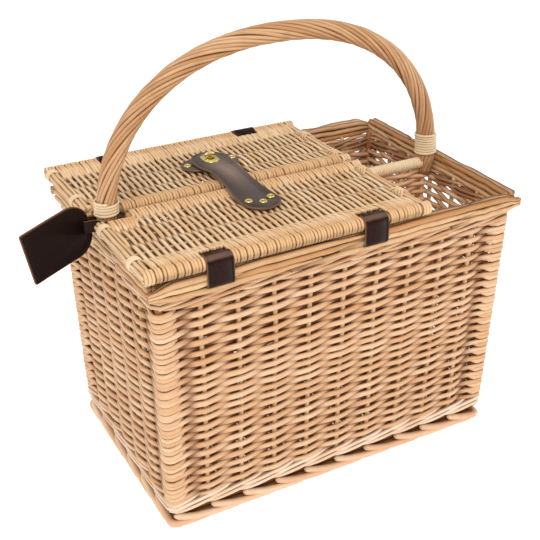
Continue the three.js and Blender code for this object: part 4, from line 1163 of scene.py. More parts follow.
@dataclass
class LidWeave:
    """One lid: close weavers over and under its sticks, rolled round its two long edges."""

    name: str
    side: float
    body: Body
    seed: int
    bound: tuple[float, ...]
    left: float = -235.0
    right: float = 99.5
    end_width: float = 12.0
    inner_y: float = 11.5
    notch_x: float = -195.0
    notch_y: float = 28.6
    first_row: float = 139.5
    row: float = 37.0
    weaver: float = 1.55
    wide: float = 1.26
    flare: float = 0.22
    pitch: float = 3.72
    roll: float = 6.3
    sway: float = 1.45
    snap: float = 1.8
    rise: float = 1.6
    arc_points: int = 13
    stick: float = 1.6
    edge_stick: float = 4.9
    hinge_stick: float = 5.2
    end_rods: int = 7
    end_rod: float = 2.25
    end_half_width: float = 4.9
    end_half_height: float = 4.1
    end_past: float = 2.0
    left_past: float = 8.0
    right_parting: float = 4.5
    right_size: float = 0.86
    crossed: tuple[float, ...] = (104.0, 29.0)
    cross_slant: float = 7.0
    cross_radius: float = 6.4
    cross_turns: tuple[float, ...] = (-5.0, -2.6, 0.0, 2.6, 5.0)
    bound_radius: float = 7.3
    bound_turns: tuple[float, ...] = (-3.0, 0.0, 3.0)
    cane: float = 1.0
    cane_wide: float = 1.75
    shade_strength: float = 0.84
    contact_shade: float = 0.7
    roll_tint: float = 0.65
    loop_half: float = 16.2
    loop_depth: float = 12.5

    def __post_init__(self) -> None:
        """Seeds the lid's random source."""
        self.rng = np.random.default_rng(self.seed)

    def weaver_path(self, x: np.ndarray, turn: np.ndarray, inner: np.ndarray) -> np.ndarray:
        """Paths of weavers from under the hinge edge, over the sticks, to under the inner edge.

        Across the sticks the height is sway tanh(snap cos(pi (k + turn))) with k the stick number,
        so a weaver lies flat over a stick and dives beside it, eased into an arc round each edge
        stick.

        Args:
            x: places along the lid, shaped (rows, 1).
            turn: 0 or 1 for each weaver, shaped (rows, 1).
            inner: distance of each weaver's inner edge stick from the parting, shaped (rows, 1).

        Returns:
            Paths shaped (rows, points, 3).
        """
        wide = np.zeros_like(x)
        arc = np.radians(np.linspace(-50.0, -300.0, self.arc_points))
        round_y, round_z = self.roll * np.cos(arc) + wide, self.roll * np.sin(arc) + wide
        low = -LEVELS.hinge_y + self.roll * 0.5
        y = low + (-inner - self.roll * 0.5 - low) * np.linspace(0.03, 0.97, 58)
        stick = (y + self.first_row) / self.row
        near = eased(0.0, 0.75, stick) * eased(0.12, 0.5, (-inner - y) / self.row)
        beat = np.tanh(self.snap * np.cos(math.pi * (stick + turn))) / math.tanh(self.snap)
        z = near * (self.rise + self.sway * beat) + (1.0 - near) * self.roll * math.sin(math.pi / 3.0)
        ys = np.concatenate([-LEVELS.hinge_y + round_y, y, -inner - round_y[:, ::-1]], axis=1)
        zs = np.concatenate([round_z, z, round_z[:, ::-1]], axis=1) + LEVELS.lid
        return points(x + waver(self.rng, len(x), ys / 160.0, 0.7), -self.side * ys, zs)

    def weave(self) -> RodMesh:
        """Weavers of the panel; beside each hinge loop they stop short to leave its slot open.

        Returns:
            The weavers.
        """
        first = self.left + self.end_width + self.pitch / 2.0
        x = np.arange(first, self.right - self.end_width, self.pitch)[:, None]
        x = x + self.rng.uniform(-0.35, 0.35, x.shape)
        turn = (np.arange(len(x)) % 2)[:, None]
        inner = np.where(x < self.notch_x, self.notch_y, self.inner_y)
        gap = np.abs(x - np.array(LEVELS.loop_x)).min(axis=1) < self.loop_half
        paths = self.weaver_path(x, turn, inner)
        height = paths[..., 2] - LEVELS.lid - self.rise
        lift = np.clip(height / self.sway, -1.0, 1.0)
        place = np.arange(paths.shape[1])
        panel = eased(11.0, 18.0, place) * eased(11.0, 18.0, place[::-1])
        swell = 1.0 + panel * self.flare * np.where(lift > 0.0, lift, -1.1 * lift)
        radius = self.weaver * self.rng.uniform(0.93, 1.05, (len(x), 1)) * swell
        tint = self.rng.beta(1.8, 2.0, len(x))[:, None] - 0.1 + self.roll_tint * (1.0 - panel)
        tint = np.clip(tint, 0.0, 1.0)
        # Painted shade where a weaver runs low, under a stick or round the bottom of a roll, stronger on its
        # upper side across the panel.
        under = self.shade_strength * (1.0 - eased(-1.5, 0.9, height))
        facing = panel[:, None] * UP
        past_loop = paths[0, self.arc_points:, 1] * -self.side > -LEVELS.hinge_y + self.loop_depth
        past = self.arc_points + int(np.argmax(past_loop))
        mesh = RodMesh()
        for rows, start in ((~gap, 0), (gap, past)):
            path, size, tone, shade_strength = (values[rows, start:] for values in (paths, radius, tint, under))
            mesh.sweep(
                path, size, tone, guide=X_AXIS, flat=self.wide, shade_share=shade_strength, contact_shade=self.contact_shade,
                facing=facing[start:],
            )
        return mesh

    def sticks(self) -> RodMesh:
        """Sticks along the lid: one in each rolled edge and three between them.

        Returns:
            The sticks.
        """
        share = np.linspace(0.0, 1.0, 40)[None]
        rows = self.first_row - self.row * np.array([1.0, 2.0, 3.0])
        y = np.array([LEVELS.hinge_y, *rows, self.inner_y])[:, None]
        indent = np.array([3.0, 1.0, 0.0, 1.5, self.notch_x - self.left])[:, None]
        radius = np.array([self.hinge_stick, self.stick, self.stick, self.stick, self.edge_stick])[:, None]
        start = self.left + indent
        x = start + (self.right - 2.0 - start) * share
        z = LEVELS.lid + self.rise * (radius == self.stick) + waver(self.rng, 5, share, 0.3)
        # Sticks lie under the weavers and take painted shade all along.
        mesh = RodMesh().sweep(
            points(x, self.side * y, z), radius, self.rng.uniform(0.2, 0.8, 5), shade_share=0.45,
        )
        short = np.linspace(self.left + 2.0, self.notch_x + 4.0, 12)[None]
        return mesh.sweep(points(short, self.side * self.notch_y, LEVELS.lid), self.edge_stick, 0.5)

    def ends(self) -> RodMesh:
        """End rods across the lid: bound near the rolls on the left, by crossed folds on the right.

        Returns:
            The end rods, their crossed folds and the rolls' last turns.
        """
        mesh = RodMesh()
        share = np.linspace(0.0, 1.0, 24)[None]
        angle = (np.arange(self.end_rods) + 0.25)[:, None] * TURN / self.end_rods
        across = points(-np.sin(angle), 0.0, np.cos(angle))
        reach = LEVELS.hinge_y + self.end_past
        left = (self.left, self.notch_y - self.left_past, 1.0)
        right = (self.right - self.end_width, self.right_parting, self.right_size)
        for low, parting, size in (left, right):
            y = (reach - parting) * share - reach
            middle = low + self.end_width / 2.0
            x = middle + self.end_half_width * size * np.cos(angle)
            x = x + waver(self.rng, self.end_rods, share * 1.5, 0.5)
            z = LEVELS.lid + self.end_half_height * size * np.sin(angle)
            z = z + waver(self.rng, self.end_rods, share * 1.5, 0.4)
            path = points(x, -self.side * y, z)
            # Painted shade on the flanks where the end rods lie together.
            mesh.sweep(
                path, self.end_rod * size, self.rng.uniform(0.1, 0.85, self.end_rods), blunt=0.8,
                guide=np.broadcast_to(across, path.shape), contact_shade=self.contact_shade,
            )
        self.wraps(mesh, self.right - self.end_width, self.crossed, self.cross_slant)
        return self.coils(mesh)

    def coils(self, mesh: RodMesh) -> RodMesh:
        """Turns that finish each rolled edge past the last weaver, as rings round its stick.

        Args:
            mesh: mesh that takes the turns.

        Returns:
            The mesh.
        """
        angle = hoop(24)
        left = self.left + 2.0 + self.pitch * np.arange(3)
        right = self.right - 2.0 - self.pitch * np.arange(3)
        x = np.concatenate([left, right, right])[:, None]
        y = np.repeat([-LEVELS.hinge_y, -self.inner_y], [6, 3])[:, None]
        y = y + self.roll * np.cos(angle)
        ring = points(x, -self.side * y, LEVELS.lid + self.roll * np.sin(angle))
        # Painted shade on the flanks where the turns lie together.
        return mesh.sweep(
            ring, self.weaver, self.rng.beta(1.8, 2.0, len(x)), loop=True, guide=X_AXIS, flat=self.wide,
            contact_shade=0.6,
        )

    def wraps(self, mesh: RodMesh, low: float, middles: tuple[float, ...], slant: float) -> RodMesh:
        """Flat wraps round an end bundle: turns side by side, or a fan of turns that cross on a slant.

        Args:
            mesh: mesh that takes the wraps.
            low: left side of the bundle.
            middles: distances of the wraps from the parting.
            slant: how far each wrap leans along the bundle, 0 for straight ones.

        Returns:
            The mesh.
        """
        angle = hoop(28)
        size = self.cross_radius if slant else self.bound_radius
        shift = np.array(self.cross_turns if slant else self.bound_turns)
        places = (shift - np.array(middles)[:, None]).reshape(-1, 1)
        leans = slant * np.tile(np.resize([1.0, -1.0], len(shift)), len(middles))[:, None]
        x = low + self.end_width / 2.0 + size * np.cos(angle)
        y = places + leans * np.cos(angle)
        ring = points(x, -self.side * y, LEVELS.lid + 0.92 * size * np.sin(angle))
        tint = np.linspace(0.1, 0.7, len(places))
        # Painted shade on the flanks where the wraps lie together.
        return mesh.sweep(ring, self.cane, tint, loop=True, guide=Y_AXIS, flat=self.cane_wide, contact_shade=0.4)

    def build(self) -> None:
        """Builds the lid's weave, sticks, ends and bindings."""
        lid = f"{self.name}_lid"
        self.weave().build(f"{lid}_weave", LID_WILLOW, self.body, f"{lid}_panel")
        self.sticks().build(f"{lid}_sticks", LID_WILLOW, self.body)
        self.ends().build(f"{lid}_ends", LID_WILLOW, self.body, f"{lid}_left_end", f"{lid}_right_end")
        bindings = self.wraps(RodMesh(), self.left, self.bound, 0.0)
        bindings.build(f"{lid}_bindings", SPLIT_CANE, self.body)


def belt(circles: np.ndarray, offset: float, count: int) -> np.ndarray:
    """Even points along a belt pulled round circles.

    In every direction the circle that reaches furthest carries the belt, so the outline is the
    circles' furthest point as the direction turns once; it is then spaced evenly by length.

    Args:
        circles: rows of centre and radius, shaped (n, 3).
        offset: distance of the belt's middle from the circles.
        count: number of points.

    Returns:
        Points shaped (count, 2), anticlockwise.
    """
    angle = np.linspace(0.0, TURN, 1440, endpoint=False)
    way = np.stack([np.cos(angle), np.sin(angle)], axis=-1)
    reach = way @ circles[:, :2].T + circles[:, 2]
    best = reach.argmax(axis=1)
    outline = circles[best, :2] + (circles[best, 2:] + offset) * way
    return evenly(np.concatenate([outline, outline[:1]]), count, closed=True)


def outward(line: np.ndarray) -> np.ndarray:
    """Directions out of a closed plane line that runs anticlockwise."""
    ahead = unit(np.roll(line, -1, axis=0) - np.roll(line, 1, axis=0))
    return np.stack([ahead[:, 1], -ahead[:, 0]], axis=-1)


def strap_section(half: np.ndarray, thick: float, crease: float) -> tuple[np.ndarray, ...]:
    """Section of a flat strap with rounded edges and a creased line inside each edge.

    The ring runs along the top from one edge to the other and back along the underside; insets
    shrink with the width near a rounded end.

    Args:
        half: half width at each place, shaped (places,).
        thick: thickness of the leather.
        crease: inset of the creased line.

    Returns:
        Distances across and up, both shaped (places, ring), and the ring's share of cut edge.
    """
    inset = np.array([0.0, 0.25, 0.9, crease - 0.7, crease, crease + 0.7])
    height = np.array([0.5, 0.84, 1.0, 1.0, 0.5, 1.0])
    under_height = np.array([0.16, 0.0, 0.0, 0.16])
    cut = np.array([1.0, 0.8, 0.15, 0.0, 0.0, 0.0])
    right = half[:, None] * (1.0 - np.minimum(inset / np.maximum(half[:, None], 0.1), 0.97))
    top = [right, 0.0 * right[:, :1], -right[:, ::-1]]
    across = np.concatenate([*top, -right[:, 1:3], right[:, 2:0:-1]], axis=1)
    up = thick * np.concatenate([height, [1.0], height[::-1], under_height])
    edge = np.concatenate([cut, [0.0], cut[::-1], [0.8, 0.2, 0.2, 0.8]])
    return across, np.broadcast_to(up, across.shape), edge


def band(line: np.ndarray, half: np.ndarray, thick: float, crease: float) -> tuple[np.ndarray, ...]:
    """Creased strap section carried round a closed line, with its thickness outwards.

    Args:
        line: points of the strap's inside, shaped (places, 2).
        half: half width at each place.
        thick: thickness of the leather.
        crease: inset of the creased line.

    Returns:
        Points in the line's plane, distances across it, and the ring's share of cut edge.
    """
    across, up, edge = strap_section(half, thick, crease)
    return line[:, None] + up[..., None] * outward(line)[:, None], across, edge


def stadium(length: float, width: float, count: int) -> np.ndarray:
    """Points of a slot outline, long along its second axis, from two half circles.

    Args:
        length: full length.
        width: full width.
        count: number of points.

    Returns:
        Points shaped (count, 2), centred.
    """
    angle = hoop(count)
    shift = np.where(np.sin(angle) >= 0.0, 1.0, -1.0) * (length - width) / 2.0
    return np.stack([width / 2.0 * np.cos(angle), width / 2.0 * np.sin(angle) + shift], axis=-1)


@dataclass
class HingeLoops:
    """Leather loops that tie each lid's hinge roll to the rim."""

    width: float = 30.0
    leather: float = 2.1
    crease: float = 2.6
    roll: float = 6.1
    rod: float = 3.7
    rod_low: float = 310.3
    rod_high: float = 317.3
    rod_out: float = 152.8
    rod_in: float = 145.8
    polish: float = 0.75
    highlight_way: tuple[float, float] = (-0.5, 0.866)
    highlight_from: float = 319.0
    highlight_to: float = 325.0

    def build(self) -> None:
        """Builds the four loops: a creased strap section carried round a belt in the YZ plane.

        A painted highlight is laid on the bend over the roll: its tint rises where the leather faces up
        and outwards, above the rim.
        """
        circles = np.array([
            [-LEVELS.hinge_y, LEVELS.lid, self.roll], [-self.rod_out, self.rod_low, self.rod],
            [-self.rod_in, self.rod_low, self.rod], [-self.rod_in, self.rod_high, self.rod],
        ])
        line = belt(circles, 0.5, 96)
        flat, across, edge = band(line, np.full(len(line), self.width / 2.0), self.leather, self.crease)
        # Painted highlight share on the bend over the roll.
        toward = eased(0.86, 1.0, outward(line) @ np.array(self.highlight_way))
        bend_highlight = self.polish * toward * eased(self.highlight_from, self.highlight_to, line[:, 1])
        for front, side in (("front", 1.0), ("rear", -1.0)):
            for hand, x in zip(("left", "right"), LEVELS.loop_x):
                grid = points(x + across, side * flat[..., 0], flat[..., 1])
                mesh = RodMesh().rings(grid[None], bend_highlight[None, :, None], edge, loop=True)
                name = f"hinge_loop_{front}_{hand}"
                mesh.build(f"{name}_leather", LOOP_LEATHER, Body.BASKET, name)


@dataclass
class CarryingBow:
    """Roped carrying bow on a core, with a cane binding round each foot."""

    middle_x: float = -3.8
    half_span: float = 210.5
    rise: float = 180.0
    squareness: float = 2.2
    sunk: float = 26.0
    rods: int = 14
    ring: float = 8.9
    rod: float = 2.15
    core: float = 7.6
    twist: float = 226.0
    cane: float = 1.1
    cane_pitch: float = 3.3
    cane_seat: float = 11.4
    left_lift: float = 10.4
    left_turns: float = 4.7
    right_turns: float = 7.8

    def arch(self, count: int) -> np.ndarray:
        """Even points along the arch, a squared half ellipse with a short straight run below each foot.

        Args:
            count: number of points.

        Returns:
            Points (x, z) shaped (count, 2), from the left foot to the right one.
        """
        angle = np.linspace(math.pi, 0.0, 2000)
        power = 2.0 / self.squareness
        x = self.half_span * np.sign(np.cos(angle)) * np.abs(np.cos(angle)) ** power
        z = self.rise * np.abs(np.sin(angle)) ** power
        depth = np.linspace(-self.sunk, -0.5, 12)
        foot = np.full(len(depth), self.half_span)
        x = np.concatenate([-foot, x, foot])
        z = LEVELS.bow_foot + np.concatenate([depth, z, depth[::-1]])
        return evenly(np.stack([x, z], axis=-1), count, closed=False) + np.array([self.middle_x, 0.0])

    def rope(self) -> None:
        """Builds the rods: each winds round the arch once in a twist's length.

        A rod's middle is the arch plus ring (cos w out + sin w front), with w growing evenly
        along the arch, so on the near side it drifts from the outside to the inside.
        """
        rng = np.random.default_rng(70)
        line = self.arch(260)
        ahead = unit(np.gradient(line, axis=0))
        out = points(-ahead[:, 1], 0.0, ahead[:, 0])
        middle = points(line[:, 0], 0.0, line[:, 1])
        run = run_along(line)
        wind = TURN * run / self.twist + hoop(self.rods)[:, None] + waver(rng, self.rods, run / 260.0, 0.1)
        below = eased(LEVELS.bow_foot - self.sunk, LEVELS.bow_foot - 4.0, line[:, 1])
        radius = (0.55 + 0.45 * below) * (self.ring + waver(rng, self.rods, run / 190.0, 0.3))
        arm = np.cos(wind)[..., None] * out - np.sin(wind)[..., None] * Y_AXIS
        beside = np.cross(points(ahead[:, 0], 0.0, ahead[:, 1]), arm)
        size = self.rod * rng.uniform(0.93, 1.05, (self.rods, 1)) + waver(rng, self.rods, run / 220.0, 0.15)
        # Painted shade on the flanks where the rods lie together.
        mesh = RodMesh().sweep(
            middle + radius[..., None] * arm, size, rng.beta(1.3, 1.3, self.rods), sides=12, guide=beside,
            contact_shade=0.8,
        )
        # The core inside the rods takes painted shade.
        mesh.sweep(middle[None], self.core, 0.95, sides=12, guide=Y_AXIS, shade_share=0.7)
        mesh.build("carrying_bow_rods", BOW_WILLOW, Body.BASKET, "carrying_bow")

    def binding(self, name: str, side: float, bottom: float, turns: float) -> None:
        """Builds a binding: split cane in a close helix that follows the bow's leg.

        Args:
            name: left or right.
            side: sign of x.
            bottom: lowest point of the cane.
            turns: number of turns.
        """
        share = np.linspace(0.0, 1.0, int(turns * 40))
        angle = TURN * turns * share
        z = bottom + self.cane_pitch * (0.45 + turns * share)
        level = (z - LEVELS.bow_foot) / self.rise
        lean = self.half_span * (1.0 - level ** self.squareness) ** (1.0 / self.squareness)
        radius = self.cane_seat + self.cane + 0.9 * np.abs(2.0 * share - 1.0) ** 6
        x = self.middle_x + side * lean + radius * np.cos(angle)
        path = points(x, radius * np.sin(angle), z)
        mesh = RodMesh().sweep(path[None], self.cane, 0.3, sides=10, flat=0.49 * self.cane_pitch / self.cane)
        mesh.build(f"bow_binding_{name}_cane", SPLIT_CANE, Body.BASKET, f"bow_binding_{name}")

    def build(self) -> None:
        """Builds the rods and both bindings."""
        self.rope()
        self.binding("left", -1.0, LEVELS.bow_foot + self.left_lift, self.left_turns)
        self.binding("right", 1.0, LEVELS.bow_foot, self.right_turns)


@dataclass
class Clasp:
    """Strap from the front lid to the rear lid, with its eyelet, rivets, patch and turn knob."""

    x: float = -59.45
    leather: float = 2.6
    anchor_end: float = -82.0
    anchor_half: float = 22.6
    bend: float = -42.0
    bend_reach: float = 9.0
    waist_half: float = 18.4
    head_half: float = 23.5
    tip: float = 89.0
    bulge: float = 3.6
    bulge_rise: tuple[float, float] = (-22.0, 14.0)
    bulge_fall: tuple[float, float] = (18.0, 52.0)
    head_lift: float = 1.9
    roll_top: float = 338.8
    roll_y: float = 11.5
    crease: float = 3.0
    highlight_share: float = 0.75
    highlight_y: float = 22.0
    highlight_reach: float = 34.0
    head_highlight: float = 0.2
    lock_y: float = 67.0
    slot: tuple[float, float] = (15.0, 7.0)
    slot_depth: float = 14.0
    eyelet_slot: tuple[float, float] = (14.6, 6.6)
    plate_size: tuple[float, float] = (22.0, 12.0)
    knob_lift: float = 1.35
    rivet_head: float = 4.7
    anchor_rivets: tuple[tuple[float, float], ...] = ((-13.5, -58.0), (0.0, -66.0), (13.5, -58.0))
    patch_rivet: float = 29.0
    patch_half_length: float = 36.0
    patch_half_width: float = 18.0
    patch_crease: float = 2.8

    def half_width(self, y: np.ndarray) -> np.ndarray:
        """Half width along the strap: a round anchor, a waist, and a round head.

        Args:
            y: places along the strap.

        Returns:
            Half widths.
        """
        anchor_centre = self.anchor_end + self.anchor_half
        head_centre = self.tip - self.head_half
        body = self.anchor_half + (self.waist_half - self.anchor_half) * eased(anchor_centre, 4.0, y)
        body = body + (self.head_half - self.waist_half) * eased(12.0, head_centre - 2.0, y)
        over = np.where(y < anchor_centre, anchor_centre - y, np.clip(y - head_centre, 0.0, None))
        size = np.where(y < anchor_centre, self.anchor_half, self.head_half)
        round_end = np.sqrt(np.clip(size ** 2 - over ** 2, 0.04, None))
        return np.where(over > 0.0, round_end, body)

    def underside(self, y: np.ndarray | float) -> np.ndarray:
        """Height of the strap's underside: flat on the front lid, bowed over the rolls, flat at the lock.

        Args:
            y: places along the strap.

        Returns:
            Heights.
        """
        end = LEVELS.panel_top + self.leather + self.head_lift
        climb = LEVELS.seat + (self.roll_top - LEVELS.seat) * eased(self.bend, -self.roll_y, y)
        bow = self.bulge * eased(*self.bulge_rise, y) * (1.0 - eased(*self.bulge_fall, y))
        return climb + bow + (end - self.roll_top) * eased(self.roll_y, self.lock_y - self.head_half, y)

    def lock_rings(
        self, size: tuple[float, float], outset: list[float], z: np.ndarray, count: int,
    ) -> np.ndarray:
        """Slot outlines about the lock, each widened all round by an outset and lifted to a height.

        Args:
            size: length and width of the slot.
            outset: distance that each outline is widened by.
            z: height of each outline.
            count: points of an outline.

        Returns:
            Points shaped (outlines, count, 3).
        """
        rings = [stadium(size[0] + 2.0 * a, size[1] + 2.0 * a, count) for a in outset]
        return lifted(np.stack(rings) + np.array([self.x, self.lock_y]), z[:, None])

    def strap(self) -> None:
        """Builds the strap: a creased section carried along it, cut through at the eyelet.

        Its tint, a painted highlight, is a bell along the strap over the parting, and falls off as a
        parabola across it.
        """
        share = np.linspace(0.0, 1.0, 120)
        y = self.anchor_end + (self.tip - self.anchor_end) * (share - np.sin(TURN * share) / TURN * 0.75)
        half = self.half_width(y)
        across, up, edge = strap_section(half, self.leather, self.crease)
        grid = points(self.x + across, y[:, None], self.underside(y)[:, None] + up)
        # Painted highlight share: a bell along the strap, a rise towards the head, and a parabola across it.
        middle = 1.0 - (across / np.maximum(half[:, None], 1.0) - 0.15) ** 2
        highlight_share = self.highlight_share * np.exp(-((y - self.highlight_y) / self.highlight_reach) ** 2)
        highlight_share = (highlight_share + self.head_highlight * eased(30.0, 70.0, y))[:, None] * middle
        mesh = RodMesh().rings(grid[None], np.clip(highlight_share, 0.0, 1.0)[None], edge)
        piece = mesh.build("clasp_strap_leather", STRAP_LEATHER, None)
        levels = LEVELS.panel_top + np.array([0.0, self.slot_depth])
        RodMesh().rings(self.lock_rings(self.slot, [0.0, 0.0], levels, 40)[None]).cut(piece)
        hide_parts("strap_anchor", "clasp_strap")
        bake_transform(piece)

    def eyelet(self) -> None:
        """Builds the eyelet: a stamped oval ring whose section rises from the slot and rolls over."""
        outset = [0.0, 0.0, 0.8, 2.4, 5.6, 7.1, 6.8]
        lift = np.array([-1.6, 1.2, 1.8, 1.5, 1.0, 0.3, -0.2])
        z = self.underside(self.lock_y) + self.leather + lift
        grid = self.lock_rings(self.eyelet_slot, outset, z, 48)
        mesh = RodMesh().rings(np.swapaxes(grid, 0, 1)[None], loop=True)
        mesh.build("strap_eyelet", LOCK_BRASS, Body.STRAP)

    def rivet(self, name: str, dx: float, y: float, body: Body) -> None:
        """Builds a tubular rivet: a rolled head with a hollow in its middle, turned about an upright axis.

        Args:
            name: solid that it stands for.
            dx: place along the hamper from the strap's middle.
            y: place across the hamper.
            body: body that carries it.
        """
        share = np.array([0.5, 1.0, 1.03, 0.97, 0.86, 0.72, 0.62, 0.55, 0.52, 0.5, 0.2])
        lift = np.array([-0.4, -0.1, 0.5, 1.0, 1.45, 1.7, 1.65, 1.35, 0.4, -0.6, -0.8])
        angle = hoop(32)
        radius = self.rivet_head * share[:, None]
        z = LEVELS.seat + self.leather + lift[:, None]
        grid = points(self.x + dx + radius * np.cos(angle), y + radius * np.sin(angle), z)
        RodMesh().rings(grid[None]).build(f"{name}_head", LOCK_BRASS, body, name)

    def rivets(self) -> None:
        """Builds the rivets of the anchor and of the patch, one piece for each solid."""
        for number, (dx, y) in enumerate(self.anchor_rivets, start=1):
            self.rivet(f"anchor_rivet_{number}", dx, y, Body.FRONT_LID)
        for number, dx in enumerate((-self.patch_rivet, self.patch_rivet), start=1):
            self.rivet(f"patch_rivet_{number}", dx, self.lock_y, Body.REAR_LID)

    def patch(self) -> None:
        """Builds the lock patch: a strap section with round ends laid across the rear lid."""
        length, width = self.patch_half_length, self.patch_half_width
        share = np.linspace(0.0, 1.0, 80)
        run = length * 2.0 * (share - np.sin(TURN * share) / TURN * 0.85) - length
        over = np.clip(np.abs(run) - length + width, 0.0, None)
        half = np.sqrt(np.clip(width ** 2 - over ** 2, 0.04, None))
        across, up, edge = strap_section(half, self.leather, self.patch_crease)
        grid = points(self.x + run[:, None], self.lock_y + across, LEVELS.seat + up)
        mesh = RodMesh().rings(grid[None], 0.25, edge)
        mesh.build("lock_patch_leather", STRAP_LEATHER, Body.REAR_LID, "lock_patch")

    def plate(self) -> None:
        """Builds the lock plate: a rounded oval plate under the strap's slot."""
        outset = [-2.5, -0.4, 0.0, 0.0, -0.4, -2.5]
        z = LEVELS.seat + 0.3 + self.leather + np.array([0.0, 0.0, 0.3, 0.7, 1.0, 1.0])
        mesh = RodMesh().rings(self.lock_rings(self.plate_size, outset, z, 40)[None])
        mesh.build("lock_plate_brass", LOCK_BRASS, Body.REAR_LID, "lock_plate")

    def knob(self) -> None:
        """Builds the turn knob: rings from a round stem to a rounded bar that lies across the slot."""
        bar = self.underside(self.lock_y) + self.leather + 2.0
        length = np.array([5.2, 5.2, 4.8, 5.6, 11.5, 13.2, 13.5, 13.2, 12.0, 9.6, 6.0, 2.0])[:, None]
        width = np.array([5.2, 5.2, 4.8, 4.7, 4.9, 5.1, 5.2, 5.0, 4.4, 3.4, 2.0, 0.6])[:, None]
        lift = np.array([0.0, 0.0, 0.0, 0.1, 0.5, 1.1, 2.0, 2.9, 3.7, 4.35, 4.75, 4.9])
        height = bar + self.knob_lift * lift
        height[:2] = LEVELS.panel_top + self.leather + 2.2, bar - 0.6
        angle = hoop(40)
        squared = np.sign(np.sin(angle)) * np.abs(np.sin(angle)) ** 0.75
        x = self.x + length / 2.0 * np.cos(angle)
        grid = points(x, self.lock_y + width / 2.0 * squared, height[:, None])
        RodMesh().rings(grid[None]).build("turn_knob_brass", LOCK_BRASS, Body.KNOB, "turn_knob")

    def build(self) -> None:
        """Builds every piece of the clasp."""
        self.patch()
        self.plate()
        self.strap()
        self.eyelet()
        self.rivets()
        self.knob()


@dataclass
class LuggageTag:
    """Leather luggage tag that hangs on a loop round the left foot of the bow."""

    foot_x: float = -214.3
    inner_x: float = -237.0
    level: float = 328.3
    rise: float = 2.0
    length: float = 81.0
    width: float = 61.0
    corner: float = 24.0
    square: float = 2.2
    tilt: float = 11.3
    swing: float = 17.0
    sag: float = 2.4
    slot_length: float = 15.2
    slot_width: float = 4.2
    slot_inset: float = 7.0
    slot_reach: float = 6.0
    loop_half: float = 7.0
    loop_narrowing: float = 2.2
    loop_drop: float = 2.0
    loop_foot: float = 11.8
    loop_end: float = 1.7
    loop_leather: float = 1.6
    loop_crease: float = 1.5

    def swung(self, grid: np.ndarray) -> np.ndarray:
        """Points turned about the bow's foot by the tag's swing, a plane turn in X and Y.

        Args:
            grid: points with a last axis of 3.

        Returns:
            Turned points.
        """
        cos, sin = math.cos(math.radians(self.swing)), math.sin(math.radians(self.swing))
        x, y = grid[..., 0] - self.foot_x, grid[..., 1]
        return points(self.foot_x + x * cos - y * sin, x * sin + y * cos, grid[..., 2])

    def outline(self, inset: float, count: int) -> np.ndarray:
        """Outline of the tag: a belt round four circles, broad at its inner end, drawn in by an inset.

        Args:
            inset: distance inside the cut edge.
            count: number of points.

        Returns:
            Points shaped (count, 2), with the inner end at the origin.
        """
        half = self.width / 2.0
        tight = max(self.square, inset + 0.1)
        circles = np.array([
            [-self.corner, half - self.corner, self.corner], [-self.corner, self.corner - half, self.corner],
            [-self.length + tight, tight - half, tight], [-self.length + tight, half - tight, tight],
        ])
        return belt(circles, -inset, count)

    def plate(self) -> None:
        """Builds the tag: outlines stacked through its thickness, drawn in at the faces and the crease."""
        inset = np.array([6.0, 3.6, 2.9, 2.2, 0.7, 0.15, 0.0])
        inset = np.concatenate([inset, inset[-2::-1]])
        lift = np.array([-1.5, -1.5, -1.1, -1.5, -1.45, -0.95, 0.0])
        lift = np.concatenate([lift, -lift[-2::-1]])
        edge = np.array([0.0, 0.0, 0.0, 0.0, 0.3, 1.0, 1.0])
        edge = np.concatenate([edge, edge[-2::-1]])
        flat = np.stack([self.outline(float(a), 180) for a in inset])
        cos, sin = math.cos(math.radians(self.tilt)), math.sin(math.radians(self.tilt))
        x = self.inner_x + flat[..., 0] * cos - flat[..., 1] * sin
        z = self.level + self.rise + flat[..., 0] * sin + flat[..., 1] * cos
        sag = self.sag * ((self.inner_x - x) / self.length - 0.5) ** 2
        grid = points(x, 0.4 - lift[:, None] - sag, z)
        mesh = RodMesh().rings(self.swung(grid)[None], 0.0, edge[:, None])
        piece = mesh.build("tag_leather", TAG_LEATHER, Body.TAG, "tag")
        slot = stadium(self.slot_length, self.slot_width, 40)
        slot = slot + np.array([self.inner_x - self.slot_inset, self.level])
        tool = points(slot[:, 0], np.array([[-self.slot_reach], [self.slot_reach]]), slot[:, 1])
        RodMesh().rings(self.swung(tool)[None]).cut(piece)

    def loop(self) -> None:
        """Builds the loop: a creased strap section carried round a belt, drawn in and low at the bow."""
        foot = [self.foot_x + 0.2, 0.0, self.loop_foot]
        circles = np.array([foot, [self.inner_x - 4.9, 0.0, self.loop_end]])
        line = belt(circles, 0.3, 90)
        drawn = eased(self.inner_x + 2.0, self.foot_x - 9.0, line[:, 0])
        half = self.loop_half - self.loop_narrowing * drawn
        flat, across, edge = band(line, half, self.loop_leather, self.loop_crease)
        grid = lifted(flat, self.level - self.loop_drop * drawn[:, None] + across)
        mesh = RodMesh().rings(self.swung(grid)[None], 0.3, edge, loop=True)
        mesh.build("tag_loop_leather", TAG_LEATHER, Body.TAG, "tag_loop")

    def build(self) -> None:
        """Builds the tag and its loop."""
        self.plate()
        self.loop()


